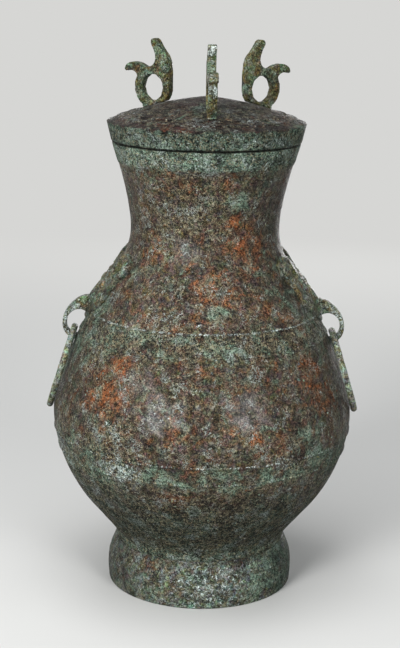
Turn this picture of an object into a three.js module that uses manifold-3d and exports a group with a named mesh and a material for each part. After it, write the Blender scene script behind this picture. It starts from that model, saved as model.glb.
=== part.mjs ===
// A bronze hu: a lidded wine jar on a ring foot. Two animal-mask lugs on the shoulder carry
// loose rings, and three bird-shaped ring knobs stand on the lid.
// Millimetres, +Z up. The origin is the centre of the foot's bearing face. The masks lie on the
// X axis, and the front of the jar faces -Y.
import * as THREE from "three";
import { mergeVertices } from "three/addons/utils/BufferGeometryUtils.js";
import Module from "manifold-3d";

const wasm = await Module();
wasm.setup();

// Driving dimensions
const ROUND_STEPS = 40; // facets round the axis of the jar, the lid and the foot
const FIT_GAP = 0.3; // the gap between pieces that seat on each other
const BELLY_RADIUS = 120;
const BELLY_HEIGHT = 146;
const WALL = 3.2;
const FOOT_RADIUS = 75.4;
const FOOT_HEIGHT = 37;
const FOOT_WALL = 5.6;
const MOUTH_HEIGHT = 359.7;
const MOUTH_RADIUS = 73.4;
const NECK_RADIUS = 58.8;
const LID_EDGE_RADIUS = 78;
const LID_EDGE_HEIGHT = 375.4;
const LID_PEAK_HEIGHT = 395;

// The outer wall from the foot joint to the mouth, as radius and height
const WALL_STATIONS = [
  [68.6, 37.4],
  [71.4, 46],
  [84.2, 62],
  [98.6, 80],
  [110.6, 102],
  [118.2, 126],
  [BELLY_RADIUS, BELLY_HEIGHT],
  [116.6, 163],
  [109.6, 184],
  [101.2, 204.5],
  [90.4, 226],
  [77.8, 248],
  [66.4, 266.5],
  [60.2, 281],
  [NECK_RADIUS, 294],
  [60.6, 310],
  [65, 330.5],
  [MOUTH_RADIUS, MOUTH_HEIGHT],
];
const BASE_HEIGHT = 28; // the underside of the jar's floor, inside the foot
const BASE_RADIUS = 52;
const FLOOR_THICKNESS = 3.6;

// Cast string ridges that run round the jar, and the plain band under its mouth
const RIDGE_HEIGHTS = [116.9, 131.4, 209.6, 226.1];
const RIDGE_WIDTH = 2.4;
const RIDGE_RISE = 1.1;
const MOUTH_BAND_HEIGHT = 343.6;
const MOUTH_BAND_RISE = 0.7;
const MOUTH_RIM = 4.2; // thickness of the rim at the mouth
const MOUTH_CHAMFER = 0.9;

// Lid
const LID_PLATE = 3;
const LID_RIM_FOOT_HEIGHT = MOUTH_HEIGHT + FIT_GAP;
const LID_BAND = 3.2;
const LID_LEDGE = 3.4;
const LID_CHAMFER = 0.9;
const FLANGE_DEPTH = 16;
const FLANGE_WALL = 3;
const FLANGE_CLEARANCE = 0.8;
const LID_RIDGE_RADII = [61.5, 69.5];
const LID_RIDGE_WIDTH = 2;
const LID_RIDGE_RISE = 0.8;

// Knobs: a flat ring with a hooked beak outwards and a neck that leans outwards.
// Their places on the lid are a few degrees uneven, as they are cast on one at a time.
const KNOBS = { front: -86.5, right: 34, left: 146 };
const KNOB_THICKNESS = 7;
const KNOB_RING_RADIUS = 16.6;
const KNOB_RING_PLACE = [51.1, 398.8]; // distance from the axis, height
const KNOB_HOLE_PLACE = [50.7, 398.6];
const KNOB_HOLE_RADII = [10.4, 10.7];
const KNOB_TIP_HEIGHT = 437;
const KNOB_TENON_RADIUS = 3;
const KNOB_TENON_PLACE = 51; // distance of the tenon's axis from the lid's axis

// Rivet heads, which lock the tenons from inside
const RIVET_RADIUS = 7.5;
const RIVET_RISE = 4.2;

// Rings and the lugs' eyelets
const RING_RADIUS = 32.8; // of the bar's centreline
const RING_BAR_RADIUS = 2.8;
const RING_PIVOT = [103.4, 208.6]; // the centre of the bar in the eyelet: distance from the axis, height
const EYELET_WIDTH = 9;

// Mask relief, in millimetres across (u) and up the shoulder (v) from the mask's centre
const MASK_CENTRE_HEIGHT = 240;
const MASK_OUTLINE = [
  [0, 31],
  [12, 37],
  [26, 39],
  [37, 32],
  [38.5, 21],
  [33, 11],
  [35, 1],
  [30, -9],
  [19, -17],
  [10, -23],
  [0, -25.5],
];
const MASK_ROUND_STEPS = 36;
const MASK_RADIAL_STEPS = 8;
const MASK_EDGE = 2.3;
const MASK_TENON_RADIUS = 3.4;
const MASK_TENON_HEIGHTS = { upper: 256, lower: 225 };

const toRadians = THREE.MathUtils.degToRad;

// Solids in and out of three.js geometry

function solidFrom(geometry) {
  const bare = geometry.clone();
  bare.deleteAttribute("normal");
  bare.deleteAttribute("uv");
  const merged = mergeVertices(bare, 1e-4);
  return new wasm.Manifold(
    new wasm.Mesh({
      numProp: 3,
      vertProperties: merged.attributes.position.array,
      triVerts: new Uint32Array(merged.index.array),
    }),
  );
}

function geometryFrom(solid) {
  const mesh = solid.getMesh();
  const positions = new Float32Array(mesh.numVert * 3);
  for (let i = 0; i < mesh.numVert; i++) {
    const start = i * mesh.numProp;
    positions.set(mesh.vertProperties.subarray(start, start + 3), i * 3);
  }
  const geometry = new THREE.BufferGeometry();
  geometry.setAttribute("position", new THREE.BufferAttribute(positions, 3));
  geometry.setIndex(new THREE.BufferAttribute(mesh.triVerts, 1));
  geometry.computeVertexNormals();
  return geometry;
}

// A solid of revolution about Z, from a profile of [radius, height] points that starts on the axis
// and ends on it, or closes on itself. The section lies on the left of the profile's direction.
function turned(profile, steps = ROUND_STEPS) {
  const points = profile.map(([radius, height]) => new THREE.Vector2(radius, height));
  const geometry = new THREE.LatheGeometry(points, steps);
  geometry.rotateX(Math.PI / 2);
  return solidFrom(geometry);
}

// A flat shape drawn in (distance from the axis, height), made into a plate of that thickness that
// stands on the X axis, centred on the XZ plane.
function standingPlate(shape, thickness, curveSegments) {
  const geometry = new THREE.ExtrudeGeometry(shape, {
    depth: thickness,
    bevelEnabled: false,
    curveSegments,
  });
  geometry.translate(0, 0, -thickness / 2);
  geometry.rotateX(Math.PI / 2);
  return solidFrom(geometry);
}

// A round rod between two points
function rod(from, to, radius, steps = 16) {
  const along = to.clone().sub(from);
  const geometry = new THREE.CylinderGeometry(radius, radius, along.length(), steps);
  geometry.applyQuaternion(
    new THREE.Quaternion().setFromUnitVectors(new THREE.Vector3(0, 1, 0), along.clone().normalize()),
  );
  const middle = from.clone().add(to).multiplyScalar(0.5);
  geometry.translate(middle.x, middle.y, middle.z);
  return solidFrom(geometry);
}

// The jar's wall

const wallSamples = new THREE.SplineCurve(
  WALL_STATIONS.map(([radius, height]) => new THREE.Vector2(radius, height)),
).getPoints(600);

function wallRadius(height) {
  const last = wallSamples.length - 1;
  const above = wallSamples.findIndex((sample) => sample.y >= height);
  if (above < 0) return wallSamples[last].x;
  if (above === 0) return wallSamples[0].x;
  const low = wallSamples[above - 1];
  const high = wallSamples[above];
  return low.x + ((high.x - low.x) * (height - low.y)) / (high.y - low.y);
}

function wallSlope(height) {
  const step = 0.5;
  return (wallRadius(height + step) - wallRadius(height - step)) / (2 * step);
}

// [radius, height] of the point at that distance outside the wall, square to it
function offWall(height, distance) {
  const slope = wallSlope(height);
  const length = Math.hypot(1, slope);
  return [wallRadius(height) + distance / length, height - (distance * slope) / length];
}

function levels(from, to, count) {
  return Array.from({ length: count + 1 }, (_, i) => from + ((to - from) * i) / count);
}

// The wall's outside from the foot joint to the mouth band, with its ridges, at a distance outside it
function wallOutside(distance) {
  const flats = levels(FOOT_HEIGHT + 1, MOUTH_BAND_HEIGHT, 16).filter((height) =>
    RIDGE_HEIGHTS.every((ridge) => Math.abs(ridge - height) > 0.9 * RIDGE_WIDTH),
  );
  const places = flats.map((height) => ({ height, rise: 0 }));
  for (const ridge of RIDGE_HEIGHTS) {
    places.push({ height: ridge - RIDGE_WIDTH / 2, rise: 0 });
    places.push({ height: ridge, rise: RIDGE_RISE });
    places.push({ height: ridge + RIDGE_WIDTH / 2, rise: 0 });
  }
  places.sort((a, b) => a.height - b.height);
  return places.map(({ height, rise }) => offWall(height, rise + distance));
}

// The rounded underside of the jar, from the axis to the foot joint
function underside(distance) {
  const curve = new THREE.QuadraticBezierCurve(
    new THREE.Vector2(BASE_RADIUS, BASE_HEIGHT + 0.8),
    new THREE.Vector2(65.5, BASE_HEIGHT + 2.2),
    new THREE.Vector2(68.4, FOOT_HEIGHT + 0.3),
  );
  const rounded = curve.getPoints(4).map((point, i) => {
    const tangent = curve.getTangent(i / 4);
    return [point.x + distance * tangent.y, point.y - distance * tangent.x];
  });
  return [[0, BASE_HEIGHT - distance], ...rounded];
}

function innerWall() {
  const heights = levels(MOUTH_BAND_HEIGHT, FOOT_HEIGHT + 6, 12);
  const wall = heights.map((height) => offWall(height, -WALL));
  const floorHeight = BASE_HEIGHT + FLOOR_THICKNESS;
  return [...wall, [62, floorHeight + 5], [52, floorHeight + 1.2], [0, floorHeight]];
}

function jarSolid() {
  const bandFoot = wallRadius(MOUTH_BAND_HEIGHT) + MOUTH_BAND_RISE;
  const bandHead = MOUTH_RADIUS + MOUTH_BAND_RISE;
  const rim = [
    [bandFoot, MOUTH_BAND_HEIGHT + 0.8],
    [wallRadius(352) + MOUTH_BAND_RISE, 352],
    [bandHead - 0.2, MOUTH_HEIGHT - MOUTH_CHAMFER],
    [bandHead - MOUTH_CHAMFER, MOUTH_HEIGHT],
    [bandHead - MOUTH_RIM, MOUTH_HEIGHT],
    [wallRadius(352) - WALL - 0.2, 352],
  ];
  return turned([...underside(0), ...wallOutside(0), ...rim, ...innerWall()]);
}

// The space that the jar takes up, grown by the fit gap: pieces that seat on it are cut with this
function jarClearance() {
  return turned([...underside(FIT_GAP), ...wallOutside(FIT_GAP), [0, MOUTH_BAND_HEIGHT]]);
}

// The jar's hollow, shrunk by the fit gap: the rivet heads inside lie within it
function jarHollow() {
  const heights = levels(FOOT_HEIGHT + 6, MOUTH_BAND_HEIGHT, 44);
  const wall = heights.map((height) => offWall(height, -WALL - FIT_GAP));
  return turned([[0, heights[0]], ...wall, [0, MOUTH_BAND_HEIGHT]]);
}

// The foot

function footSolid() {
  const inner = FOOT_RADIUS - FOOT_WALL;
  const outside = new THREE.SplineCurve([
    new THREE.Vector2(FOOT_RADIUS - 0.4, 0),
    new THREE.Vector2(FOOT_RADIUS + 0.2, 12),
    new THREE.Vector2(FOOT_RADIUS - 0.6, 22),
    new THREE.Vector2(71.8, 30.5),
    new THREE.Vector2(68.9, FOOT_HEIGHT),
  ]).getPoints(8);
  const profile = [
    [inner - 0.6, 0],
    ...outside.map((point) => [point.x, point.y]),
    [55, FOOT_HEIGHT],
    [57, 25],
    [65, 22.5],
    [inner + 0.4, 12],
    [inner - 0.6, 0],
  ];
  return turned(profile).subtract(jarClearance());
}

// The lid

function domeHeight(radius) {
  const share = radius / LID_EDGE_RADIUS;
  return LID_PEAK_HEIGHT - (LID_PEAK_HEIGHT - LID_EDGE_HEIGHT) * (0.42 * share + 0.58 * share * share);
}

function domeTop(distance) {
  const places = [0, 20, 40, 54, 65.5].map((radius) => ({ radius, rise: 0 }));
  for (const ridge of LID_RIDGE_RADII) {
    places.push({ radius: ridge - LID_RIDGE_WIDTH / 2, rise: 0 });
    places.push({ radius: ridge, rise: LID_RIDGE_RISE });
    places.push({ radius: ridge + LID_RIDGE_WIDTH / 2, rise: 0 });
  }
  places.sort((a, b) => b.radius - a.radius);
  return places.map(({ radius, rise }) => [radius, domeHeight(radius) + rise + distance]);
}

function lidSolid() {
  const rimFoot = MOUTH_RADIUS + MOUTH_BAND_RISE + 0.5;
  const ledgeTop = LID_RIM_FOOT_HEIGHT + LID_LEDGE;
  const flangeFoot = MOUTH_HEIGHT - FLANGE_DEPTH;
  const flangeHead = MOUTH_RADIUS + MOUTH_BAND_RISE - MOUTH_RIM - FLANGE_CLEARANCE;
  const flangeTail = wallRadius(flangeFoot) - WALL - FLANGE_CLEARANCE - 0.6;
  const bandInside = LID_EDGE_RADIUS - LID_BAND - 0.9;
  const outside = [
    [flangeTail - 0.8, flangeFoot],
    [flangeTail, flangeFoot + 1],
    [flangeHead - 0.4, LID_RIM_FOOT_HEIGHT - 1],
    [flangeHead, LID_RIM_FOOT_HEIGHT],
    [rimFoot - LID_CHAMFER, LID_RIM_FOOT_HEIGHT],
    [rimFoot, LID_RIM_FOOT_HEIGHT + LID_CHAMFER],
    [LID_EDGE_RADIUS - 0.3, LID_EDGE_HEIGHT - 1.2],
    [LID_EDGE_RADIUS, LID_EDGE_HEIGHT - 0.4],
    [LID_EDGE_RADIUS - 0.8, domeHeight(LID_EDGE_RADIUS - 0.8)],
  ];
  const underDome = [0, 20, 38, 50, 62, bandInside].map((radius) => [
    radius,
    domeHeight(radius) - LID_PLATE,
  ]);
  const inside = [
    [rimFoot - LID_BAND + 0.4, ledgeTop],
    [flangeHead - FLANGE_WALL, ledgeTop],
    [flangeTail - FLANGE_WALL, flangeFoot + 1],
    [flangeTail - FLANGE_WALL + 0.8, flangeFoot],
    [flangeTail - 0.8, flangeFoot],
  ];
  return turned([...outside, ...domeTop(0), ...underDome, ...inside]);
}

// A body that fills everything below the lid's top, grown by a distance
function belowDome(distance) {
  return turned([[0, 330], [LID_EDGE_RADIUS, 330], ...domeTop(distance)]);
}

// A body that fills everything below the lid plate's underside
function underLid(distance) {
  const profile = [0, 20, 38, 50, 62, 70].map((radius) => [radius, domeHeight(radius) - LID_PLATE - distance]);
  return turned([[0, 340], [70, 340], ...profile.reverse()]);
}

// The knobs

function knobShape() {
  const [ringX, ringZ] = KNOB_RING_PLACE;
  const shape = new THREE.Shape();
  const leave = toRadians(30);
  const back = toRadians(172);
  shape.moveTo(ringX - 10, ringZ - 16);
  shape.lineTo(ringX + 9, ringZ - 16);
  shape.absarc(ringX, ringZ, KNOB_RING_RADIUS, toRadians(-58), leave, false);
  shape.quadraticCurveTo(66.9, 409.9, 69.8, 410.7);
  shape.quadraticCurveTo(73.6, 411.4, 75.3, 410.3);
  shape.quadraticCurveTo(78.3, 410, 77.8, 412.8);
  shape.quadraticCurveTo(76.2, 417.4, 69.4, 417.9);
  shape.quadraticCurveTo(64, 418, 59.8, 415.4);
  shape.quadraticCurveTo(56.8, 413.7, 53, 414.8);
  shape.quadraticCurveTo(48.2, 416.6, 48, 421.6);
  shape.quadraticCurveTo(48, 426, 52.4, 432.6);
  shape.quadraticCurveTo(53.4, 436.2, 50.4, KNOB_TIP_HEIGHT);
  shape.quadraticCurveTo(47.4, KNOB_TIP_HEIGHT + 0.4, 45.4, 433.8);
  shape.quadraticCurveTo(42.4, 428.6, 38.4, 425);
  shape.quadraticCurveTo(33.8, 420.5, ringX + KNOB_RING_RADIUS * Math.cos(back), ringZ + 2.3);
  shape.absarc(ringX, ringZ, KNOB_RING_RADIUS, back, toRadians(234), false);
  const hole = new THREE.Path();
  hole.absellipse(...KNOB_HOLE_PLACE, ...KNOB_HOLE_RADII, 0, 2 * Math.PI, true);
  shape.holes.push(hole);
  return shape;
}

function tenonPlace(distance, height) {
  return new THREE.Vector3(distance, 0, height);
}

function knobTenon(radius, foot) {
  return rod(tenonPlace(KNOB_TENON_PLACE, foot), tenonPlace(KNOB_TENON_PLACE, 388.5), radius);
}

function knobSolid() {
  const plate = standingPlate(knobShape(), KNOB_THICKNESS, 5).subtract(belowDome(FIT_GAP));
  return plate.add(knobTenon(KNOB_TENON_RADIUS, domeHeight(KNOB_TENON_PLACE) - LID_PLATE - 2));
}

function knobRivetSolid() {
  const seat = domeHeight(KNOB_TENON_PLACE) - LID_PLATE + 3;
  const head = turned(
    [
      [0, seat - 3 - RIVET_RISE],
      [RIVET_RADIUS * 0.55, seat - 3 - RIVET_RISE * 0.85],
      [RIVET_RADIUS * 0.9, seat - 3 - RIVET_RISE * 0.4],
      [RIVET_RADIUS, seat - 3],
      [RIVET_RADIUS, seat],
      [0, seat],
    ],
    14,
  ).translate([KNOB_TENON_PLACE, 0, 0]);
  return head
    .intersect(underLid(FIT_GAP))
    .subtract(knobTenon(KNOB_TENON_RADIUS + FIT_GAP, domeHeight(KNOB_TENON_PLACE) - LID_PLATE - 2 - FIT_GAP));
}

// The masks

// A point on the shoulder at u across and v up from the mask's centre, at a distance outside the wall
function onShoulder(u, v, distance) {
  const rise = Math.cos(Math.atan(wallSlope(MASK_CENTRE_HEIGHT)));
  const height = MASK_CENTRE_HEIGHT + v * rise;
  const [radius, z] = offWall(height, distance);
  const angle = u / wallRadius(height);
  return new THREE.Vector3(radius * Math.cos(angle), radius * Math.sin(angle), z);
}

function bump(distance, width) {
  return Math.exp(-((distance / width) ** 2));
}

// How far the mask's face stands off the wall: horn and cheek curls, brows, eyes, and a nose that
// swells down to the eyelet's root and leaves a thin chin below it
function maskRelief(u, v) {
  const side = Math.abs(u);
  const hornReach = Math.hypot(side - 27, v - 25);
  const horn = 2.4 * bump(hornReach - 8, 2.2) + 2.2 * bump(hornReach, 2.8);
  const browLine = v - (17 + 0.012 * (side - 12) ** 2);
  const brow = 1.9 * bump(browLine, 2.4) * bump(side - 12, 10);
  const eyeReach = Math.hypot(side - 13.5, (v - 7.5) * 1.15);
  const eye = 3.4 * Math.sqrt(Math.max(0, 1 - (eyeReach / 5.4) ** 2)) + 1.1 * bump(eyeReach - 7.6, 1.3);
  const cheekReach = Math.hypot(side - 25, v + 3);
  const cheek = 1.7 * bump(cheekReach - 5, 1.8) + 1.4 * bump(cheekReach, 1.8);
  const chin = THREE.MathUtils.smoothstep(v, -17, -6);
  const nose = 4.2 * bump(side, 4.6 + 0.05 * (20 - v)) * (1 - THREE.MathUtils.smoothstep(v, -12, 28));
  return MASK_EDGE * (0.6 + 0.4 * chin) + horn + brow + eye + cheek + chin * nose;
}

// A closed relief: rings of points from the centre to the outline on the face and on the back
function maskRelievedPlate() {
  const half = MASK_OUTLINE.map(([u, v]) => new THREE.Vector2(u, v));
  const mirrored = half.slice(1, -1).reverse().map((point) => new THREE.Vector2(-point.x, point.y));
  const outline = new THREE.SplineCurve([...half, ...mirrored, half[0]]).getPoints(MASK_ROUND_STEPS);
  outline.pop();
  const rings = levels(0, 1, MASK_RADIAL_STEPS).slice(1);
  const positions = [];
  const triangles = [];
  const add = (u, v, distance) => positions.push(...onShoulder(u, v, distance).toArray()) / 3 - 1;
  const layer = (shares, reach) => {
    const centre = add(0, 0, reach(0, 0, 0));
    const circles = shares.map((share) =>
      outline.map(({ x, y }) => add(x * share, y * share, reach(x * share, y * share, share))),
    );
    return { centre, circles };
  };
  const face = layer(rings, (u, v, share) => maskRelief(u, v) - (share > 0.99 ? 0.7 : 0));
  const back = layer([0.5, 1], () => -1.5);
  const count = outline.length;
  const stitch = (inner, outer, flip) => {
    for (let i = 0; i < count; i++) {
      const j = (i + 1) % count;
      const quads = [
        [inner[i], outer[i], outer[j]],
        [inner[i], outer[j], inner[j]],
      ];
      for (const [a, b, c] of quads) triangles.push(...(flip ? [a, c, b] : [a, b, c]));
    }
  };
  for (const [{ centre, circles }, flip] of [
    [face, false],
    [back, true],
  ]) {
    circles[0].forEach((_, i) => {
      const j = (i + 1) % count;
      triangles.push(...(flip ? [centre, circles[0][j], circles[0][i]] : [centre, circles[0][i], circles[0][j]]));
    });
    for (let k = 1; k < circles.length; k++) stitch(circles[k - 1], circles[k], flip);
  }
  stitch(face.circles.at(-1), back.circles.at(-1), false);
  const geometry = new THREE.BufferGeometry();
  geometry.setAttribute("position", new THREE.Float32BufferAttribute(positions, 3));
  geometry.setIndex(triangles);
  const solid = solidFrom(geometry);
  if (solid.volume() > 0) return solid;
  const turnedOut = [];
  for (let i = 0; i < triangles.length; i += 3) turnedOut.push(triangles[i], triangles[i + 2], triangles[i + 1]);
  geometry.setIndex(turnedOut);
  return solidFrom(geometry);
}

// The nose curls out, down and back to the wall under the ring
function eyeletShape() {
  const shape = new THREE.Shape();
  shape.moveTo(80, 238);
  shape.lineTo(88, 236);
  shape.quadraticCurveTo(97, 237, 103.2, 231.6);
  shape.quadraticCurveTo(113, 223.5, 113.2, 213);
  shape.quadraticCurveTo(113, 204.8, 107.6, 201.6);
  shape.lineTo(98, 196.5);
  shape.lineTo(95, 203);
  shape.lineTo(104.6, 205.2);
  shape.quadraticCurveTo(109.4, 207, 109.7, 213);
  shape.quadraticCurveTo(109.6, 219.6, 104.4, 223);
  shape.quadraticCurveTo(99.6, 226.2, 94.4, 223);
  shape.lineTo(80, 224);
  return shape;
}

function maskTenon(height, radius, reach) {
  const inner = offWall(height, -WALL - reach);
  const outer = offWall(height, RIDGE_RISE + 0.8);
  return rod(tenonPlace(...inner), tenonPlace(...outer), radius);
}

function maskSolid() {
  const eyelet = standingPlate(eyeletShape(), EYELET_WIDTH, 5);
  const outside = maskRelievedPlate().add(eyelet).subtract(jarClearance());
  return Object.values(MASK_TENON_HEIGHTS).reduce(
    (mask, height) => mask.add(maskTenon(height, MASK_TENON_RADIUS, 2)),
    outside,
  );
}

function maskRivetSolid(height) {
  const [seatRadius, seatHeight] = offWall(height, -WALL + 3);
  const head = turned(
    [
      [0, -3],
      [RIVET_RADIUS, -3],
      [RIVET_RADIUS, 0.8],
      [RIVET_RADIUS * 0.9, 3 + RIVET_RISE * 0.4],
      [RIVET_RADIUS * 0.55, 3 + RIVET_RISE * 0.85],
      [0, 3 + RIVET_RISE],
    ],
    14,
  );
  // the head's axis points into the jar, square to the wall
  const inwards = 270 - THREE.MathUtils.radToDeg(Math.atan(wallSlope(height)));
  return head
    .rotate([0, inwards, 0])
    .translate([seatRadius, 0, seatHeight])
    .intersect(jarHollow())
    .subtract(maskTenon(height, MASK_TENON_RADIUS + FIT_GAP, 2 + FIT_GAP));
}

// How far the ring leans out from hanging straight down: its bar just clears the belly
function ringLean() {
  const [pivotX, pivotZ] = RING_PIVOT;
  const step = toRadians(0.1);
  const places = levels(0, Math.PI, 24);
  const clears = (lean) =>
    places.every((turn) => {
      const drop = RING_RADIUS * (1 - Math.cos(turn));
      const x = pivotX + drop * Math.sin(lean);
      const z = pivotZ - drop * Math.cos(lean);
      const slope = wallSlope(z);
      const gap = (Math.hypot(x, RING_RADIUS * Math.sin(turn)) - wallRadius(z)) / Math.hypot(1, slope);
      return gap >= RING_BAR_RADIUS + FIT_GAP;
    });
  let lean = 0;
  while (!clears(lean)) lean += step;
  return lean;
}

// The ring, hung in the eyelet and leaning on the belly
function ringGeometry() {
  const lean = ringLean();
  const [pivotX, pivotZ] = RING_PIVOT;
  const ring = new THREE.TorusGeometry(RING_RADIUS, RING_BAR_RADIUS, 8, 28);
  ring.rotateY(Math.PI / 2 - lean);
  ring.translate(pivotX + RING_RADIUS * Math.sin(lean), 0, pivotZ - RING_RADIUS * Math.cos(lean));
  return ring;
}

// Materials

const bronze = {
  jar: new THREE.MeshStandardMaterial({ color: 0x5a5548, roughness: 0.72, metalness: 0.35 }),
  lid: new THREE.MeshStandardMaterial({ color: 0x4c4f44, roughness: 0.72, metalness: 0.35 }),
  knob: new THREE.MeshStandardMaterial({ color: 0x6f7a5f, roughness: 0.75, metalness: 0.3 }),
  lug: new THREE.MeshStandardMaterial({ color: 0x5f7263, roughness: 0.75, metalness: 0.3 }),
};

// Assembly

const hu = new THREE.Group();

function place(name, geometry, material, parent = hu) {
  const mesh = new THREE.Mesh(geometry, material);
  mesh.name = name;
  parent.add(mesh);
  return mesh;
}

const SIDES = { right: 0, left: 180 };

function tenonHoles(jar) {
  let cut = jar;
  for (const angle of Object.values(SIDES)) {
    for (const height of Object.values(MASK_TENON_HEIGHTS)) {
      cut = cut.subtract(maskTenon(height, MASK_TENON_RADIUS + FIT_GAP, 2).rotate([0, 0, angle]));
    }
  }
  return cut;
}

place("jar_body", geometryFrom(tenonHoles(jarSolid())), bronze.jar);
place("foot_ring", geometryFrom(footSolid()), bronze.jar);

const knobHole = knobTenon(KNOB_TENON_RADIUS + FIT_GAP, domeHeight(KNOB_TENON_PLACE) - 12);
const pierced = Object.values(KNOBS).reduce(
  (lid, angle) => lid.subtract(knobHole.rotate([0, 0, angle])),
  lidSolid(),
);
place("lid", geometryFrom(pierced), bronze.lid);

for (const [position, angle] of Object.entries(KNOBS)) {
  const spot = new THREE.Group();
  spot.rotation.z = toRadians(angle);
  hu.add(spot);
  place(`lid_knob_${position}`, geometryFrom(knobSolid()), bronze.knob, spot);
  place(`lid_knob_rivet_${position}`, geometryFrom(knobRivetSolid()), bronze.lid, spot);
}

for (const [side, angle] of Object.entries(SIDES)) {
  const lug = new THREE.Group();
  lug.rotation.z = toRadians(angle);
  hu.add(lug);
  place(`mask_${side}`, geometryFrom(maskSolid()), bronze.lug, lug);
  for (const [level, height] of Object.entries(MASK_TENON_HEIGHTS)) {
    place(`mask_rivet_${side}_${level}`, geometryFrom(maskRivetSolid(height)), bronze.jar, lug);
  }
  place(`handle_ring_${side}`, ringGeometry(), bronze.lug, lug);
}

export default hu;
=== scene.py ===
"""A lidded bronze wine jar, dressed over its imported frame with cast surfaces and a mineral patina."""

from __future__ import annotations

import logging
import math
from bisect import bisect_left
from dataclasses import dataclass, field, replace
from enum import Enum
from typing import Any, Callable, Iterable, Sequence, Union

import bmesh
import bpy
from mathutils import Matrix, Vector, noise

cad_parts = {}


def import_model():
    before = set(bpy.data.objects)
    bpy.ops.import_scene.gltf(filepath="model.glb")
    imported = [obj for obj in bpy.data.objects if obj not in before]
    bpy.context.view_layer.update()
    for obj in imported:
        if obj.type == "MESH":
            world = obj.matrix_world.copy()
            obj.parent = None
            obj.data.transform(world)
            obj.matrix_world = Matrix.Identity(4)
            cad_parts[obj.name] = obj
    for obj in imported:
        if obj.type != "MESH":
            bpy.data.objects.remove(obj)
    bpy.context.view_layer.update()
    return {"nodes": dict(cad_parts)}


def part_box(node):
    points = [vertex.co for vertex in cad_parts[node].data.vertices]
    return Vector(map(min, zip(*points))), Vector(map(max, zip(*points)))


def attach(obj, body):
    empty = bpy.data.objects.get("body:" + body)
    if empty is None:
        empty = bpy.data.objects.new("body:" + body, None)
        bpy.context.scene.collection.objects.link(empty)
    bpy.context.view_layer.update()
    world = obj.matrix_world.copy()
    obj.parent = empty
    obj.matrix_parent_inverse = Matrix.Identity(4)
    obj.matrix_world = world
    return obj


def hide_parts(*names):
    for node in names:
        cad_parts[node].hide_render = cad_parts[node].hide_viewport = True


MM = 0.001
MM_PER_METRE = (1000, 1000, 1000)

# The photograph's height and the focal length that fits its rims and outline, both in pixels.
PHOTO_HEIGHT = 648
FOCAL_PIXELS = 1500.5
# In millimetres, along the picture's longer side, which is its height.
SENSOR_WIDTH = 36

log = logging.getLogger("wine_jar")

Row = tuple[float, float]
Colour = tuple[float, float, float, float]
Mesh = tuple[list[Vector], list[tuple[int, ...]]]

# The sRGB curve: straight up to its knee, and a power above it.
SRGB_KNEE = 0.04045
SRGB_SLOPE = 12.92
SRGB_OFFSET = 0.055
SRGB_POWER = 2.4


def srgb(red: int, green: int, blue: int) -> Colour:
    """Turns an 8-bit screen colour into the linear colour that a socket holds.

    Args:
        red, green, blue: the screen colour, 0 to 255.

    Returns:
        The linear colour with an alpha of 1.
    """

    def linear(value: int) -> float:
        """Turns one channel into linear light.

        Args:
            value: the channel, 0 to 255.

        Returns:
            Its linear value, 0 to 1.
        """
        share = value / 255
        curved = ((share + SRGB_OFFSET) / (1 + SRGB_OFFSET)) ** SRGB_POWER
        return share / SRGB_SLOPE if share <= SRGB_KNEE else curved

    return (linear(red), linear(green), linear(blue), 1.0)


class Num:
    """A value socket that takes part in Python arithmetic by adding Math nodes."""

    def __init__(self, graph: "Graph", socket: bpy.types.NodeSocket) -> None:
        """Wraps a socket of the graph's tree."""
        self.graph = graph
        self.socket = socket

    def _math(self, operation: str, first: "Value", second: "Value" = 0.0) -> "Num":
        """Returns the result of a Math node with one or two operands."""
        made = self.graph.node("ShaderNodeMath", {"operation": operation}, {0: first, 1: second})
        return Num(self.graph, made.outputs[0])

    def __add__(self, other: "Value") -> "Num":
        """Returns self + other."""
        return self._math("ADD", self, other)

    __radd__ = __add__

    def __mul__(self, other: "Value") -> "Num":
        """Returns self * other."""
        return self._math("MULTIPLY", self, other)

    __rmul__ = __mul__

    def __sub__(self, other: "Value") -> "Num":
        """Returns self - other."""
        return self._math("SUBTRACT", self, other)

    def __rsub__(self, other: "Value") -> "Num":
        """Returns other - self."""
        return self._math("SUBTRACT", other, self)

    def __abs__(self) -> "Num":
        """Returns the absolute value."""
        return self._math("ABSOLUTE", self)

    def larger(self, other: "Value") -> "Num":
        """Returns the larger of two values."""
        return self._math("MAXIMUM", self, other)


Value = Union[Num, bpy.types.NodeSocket, float, Sequence[float]]


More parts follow.
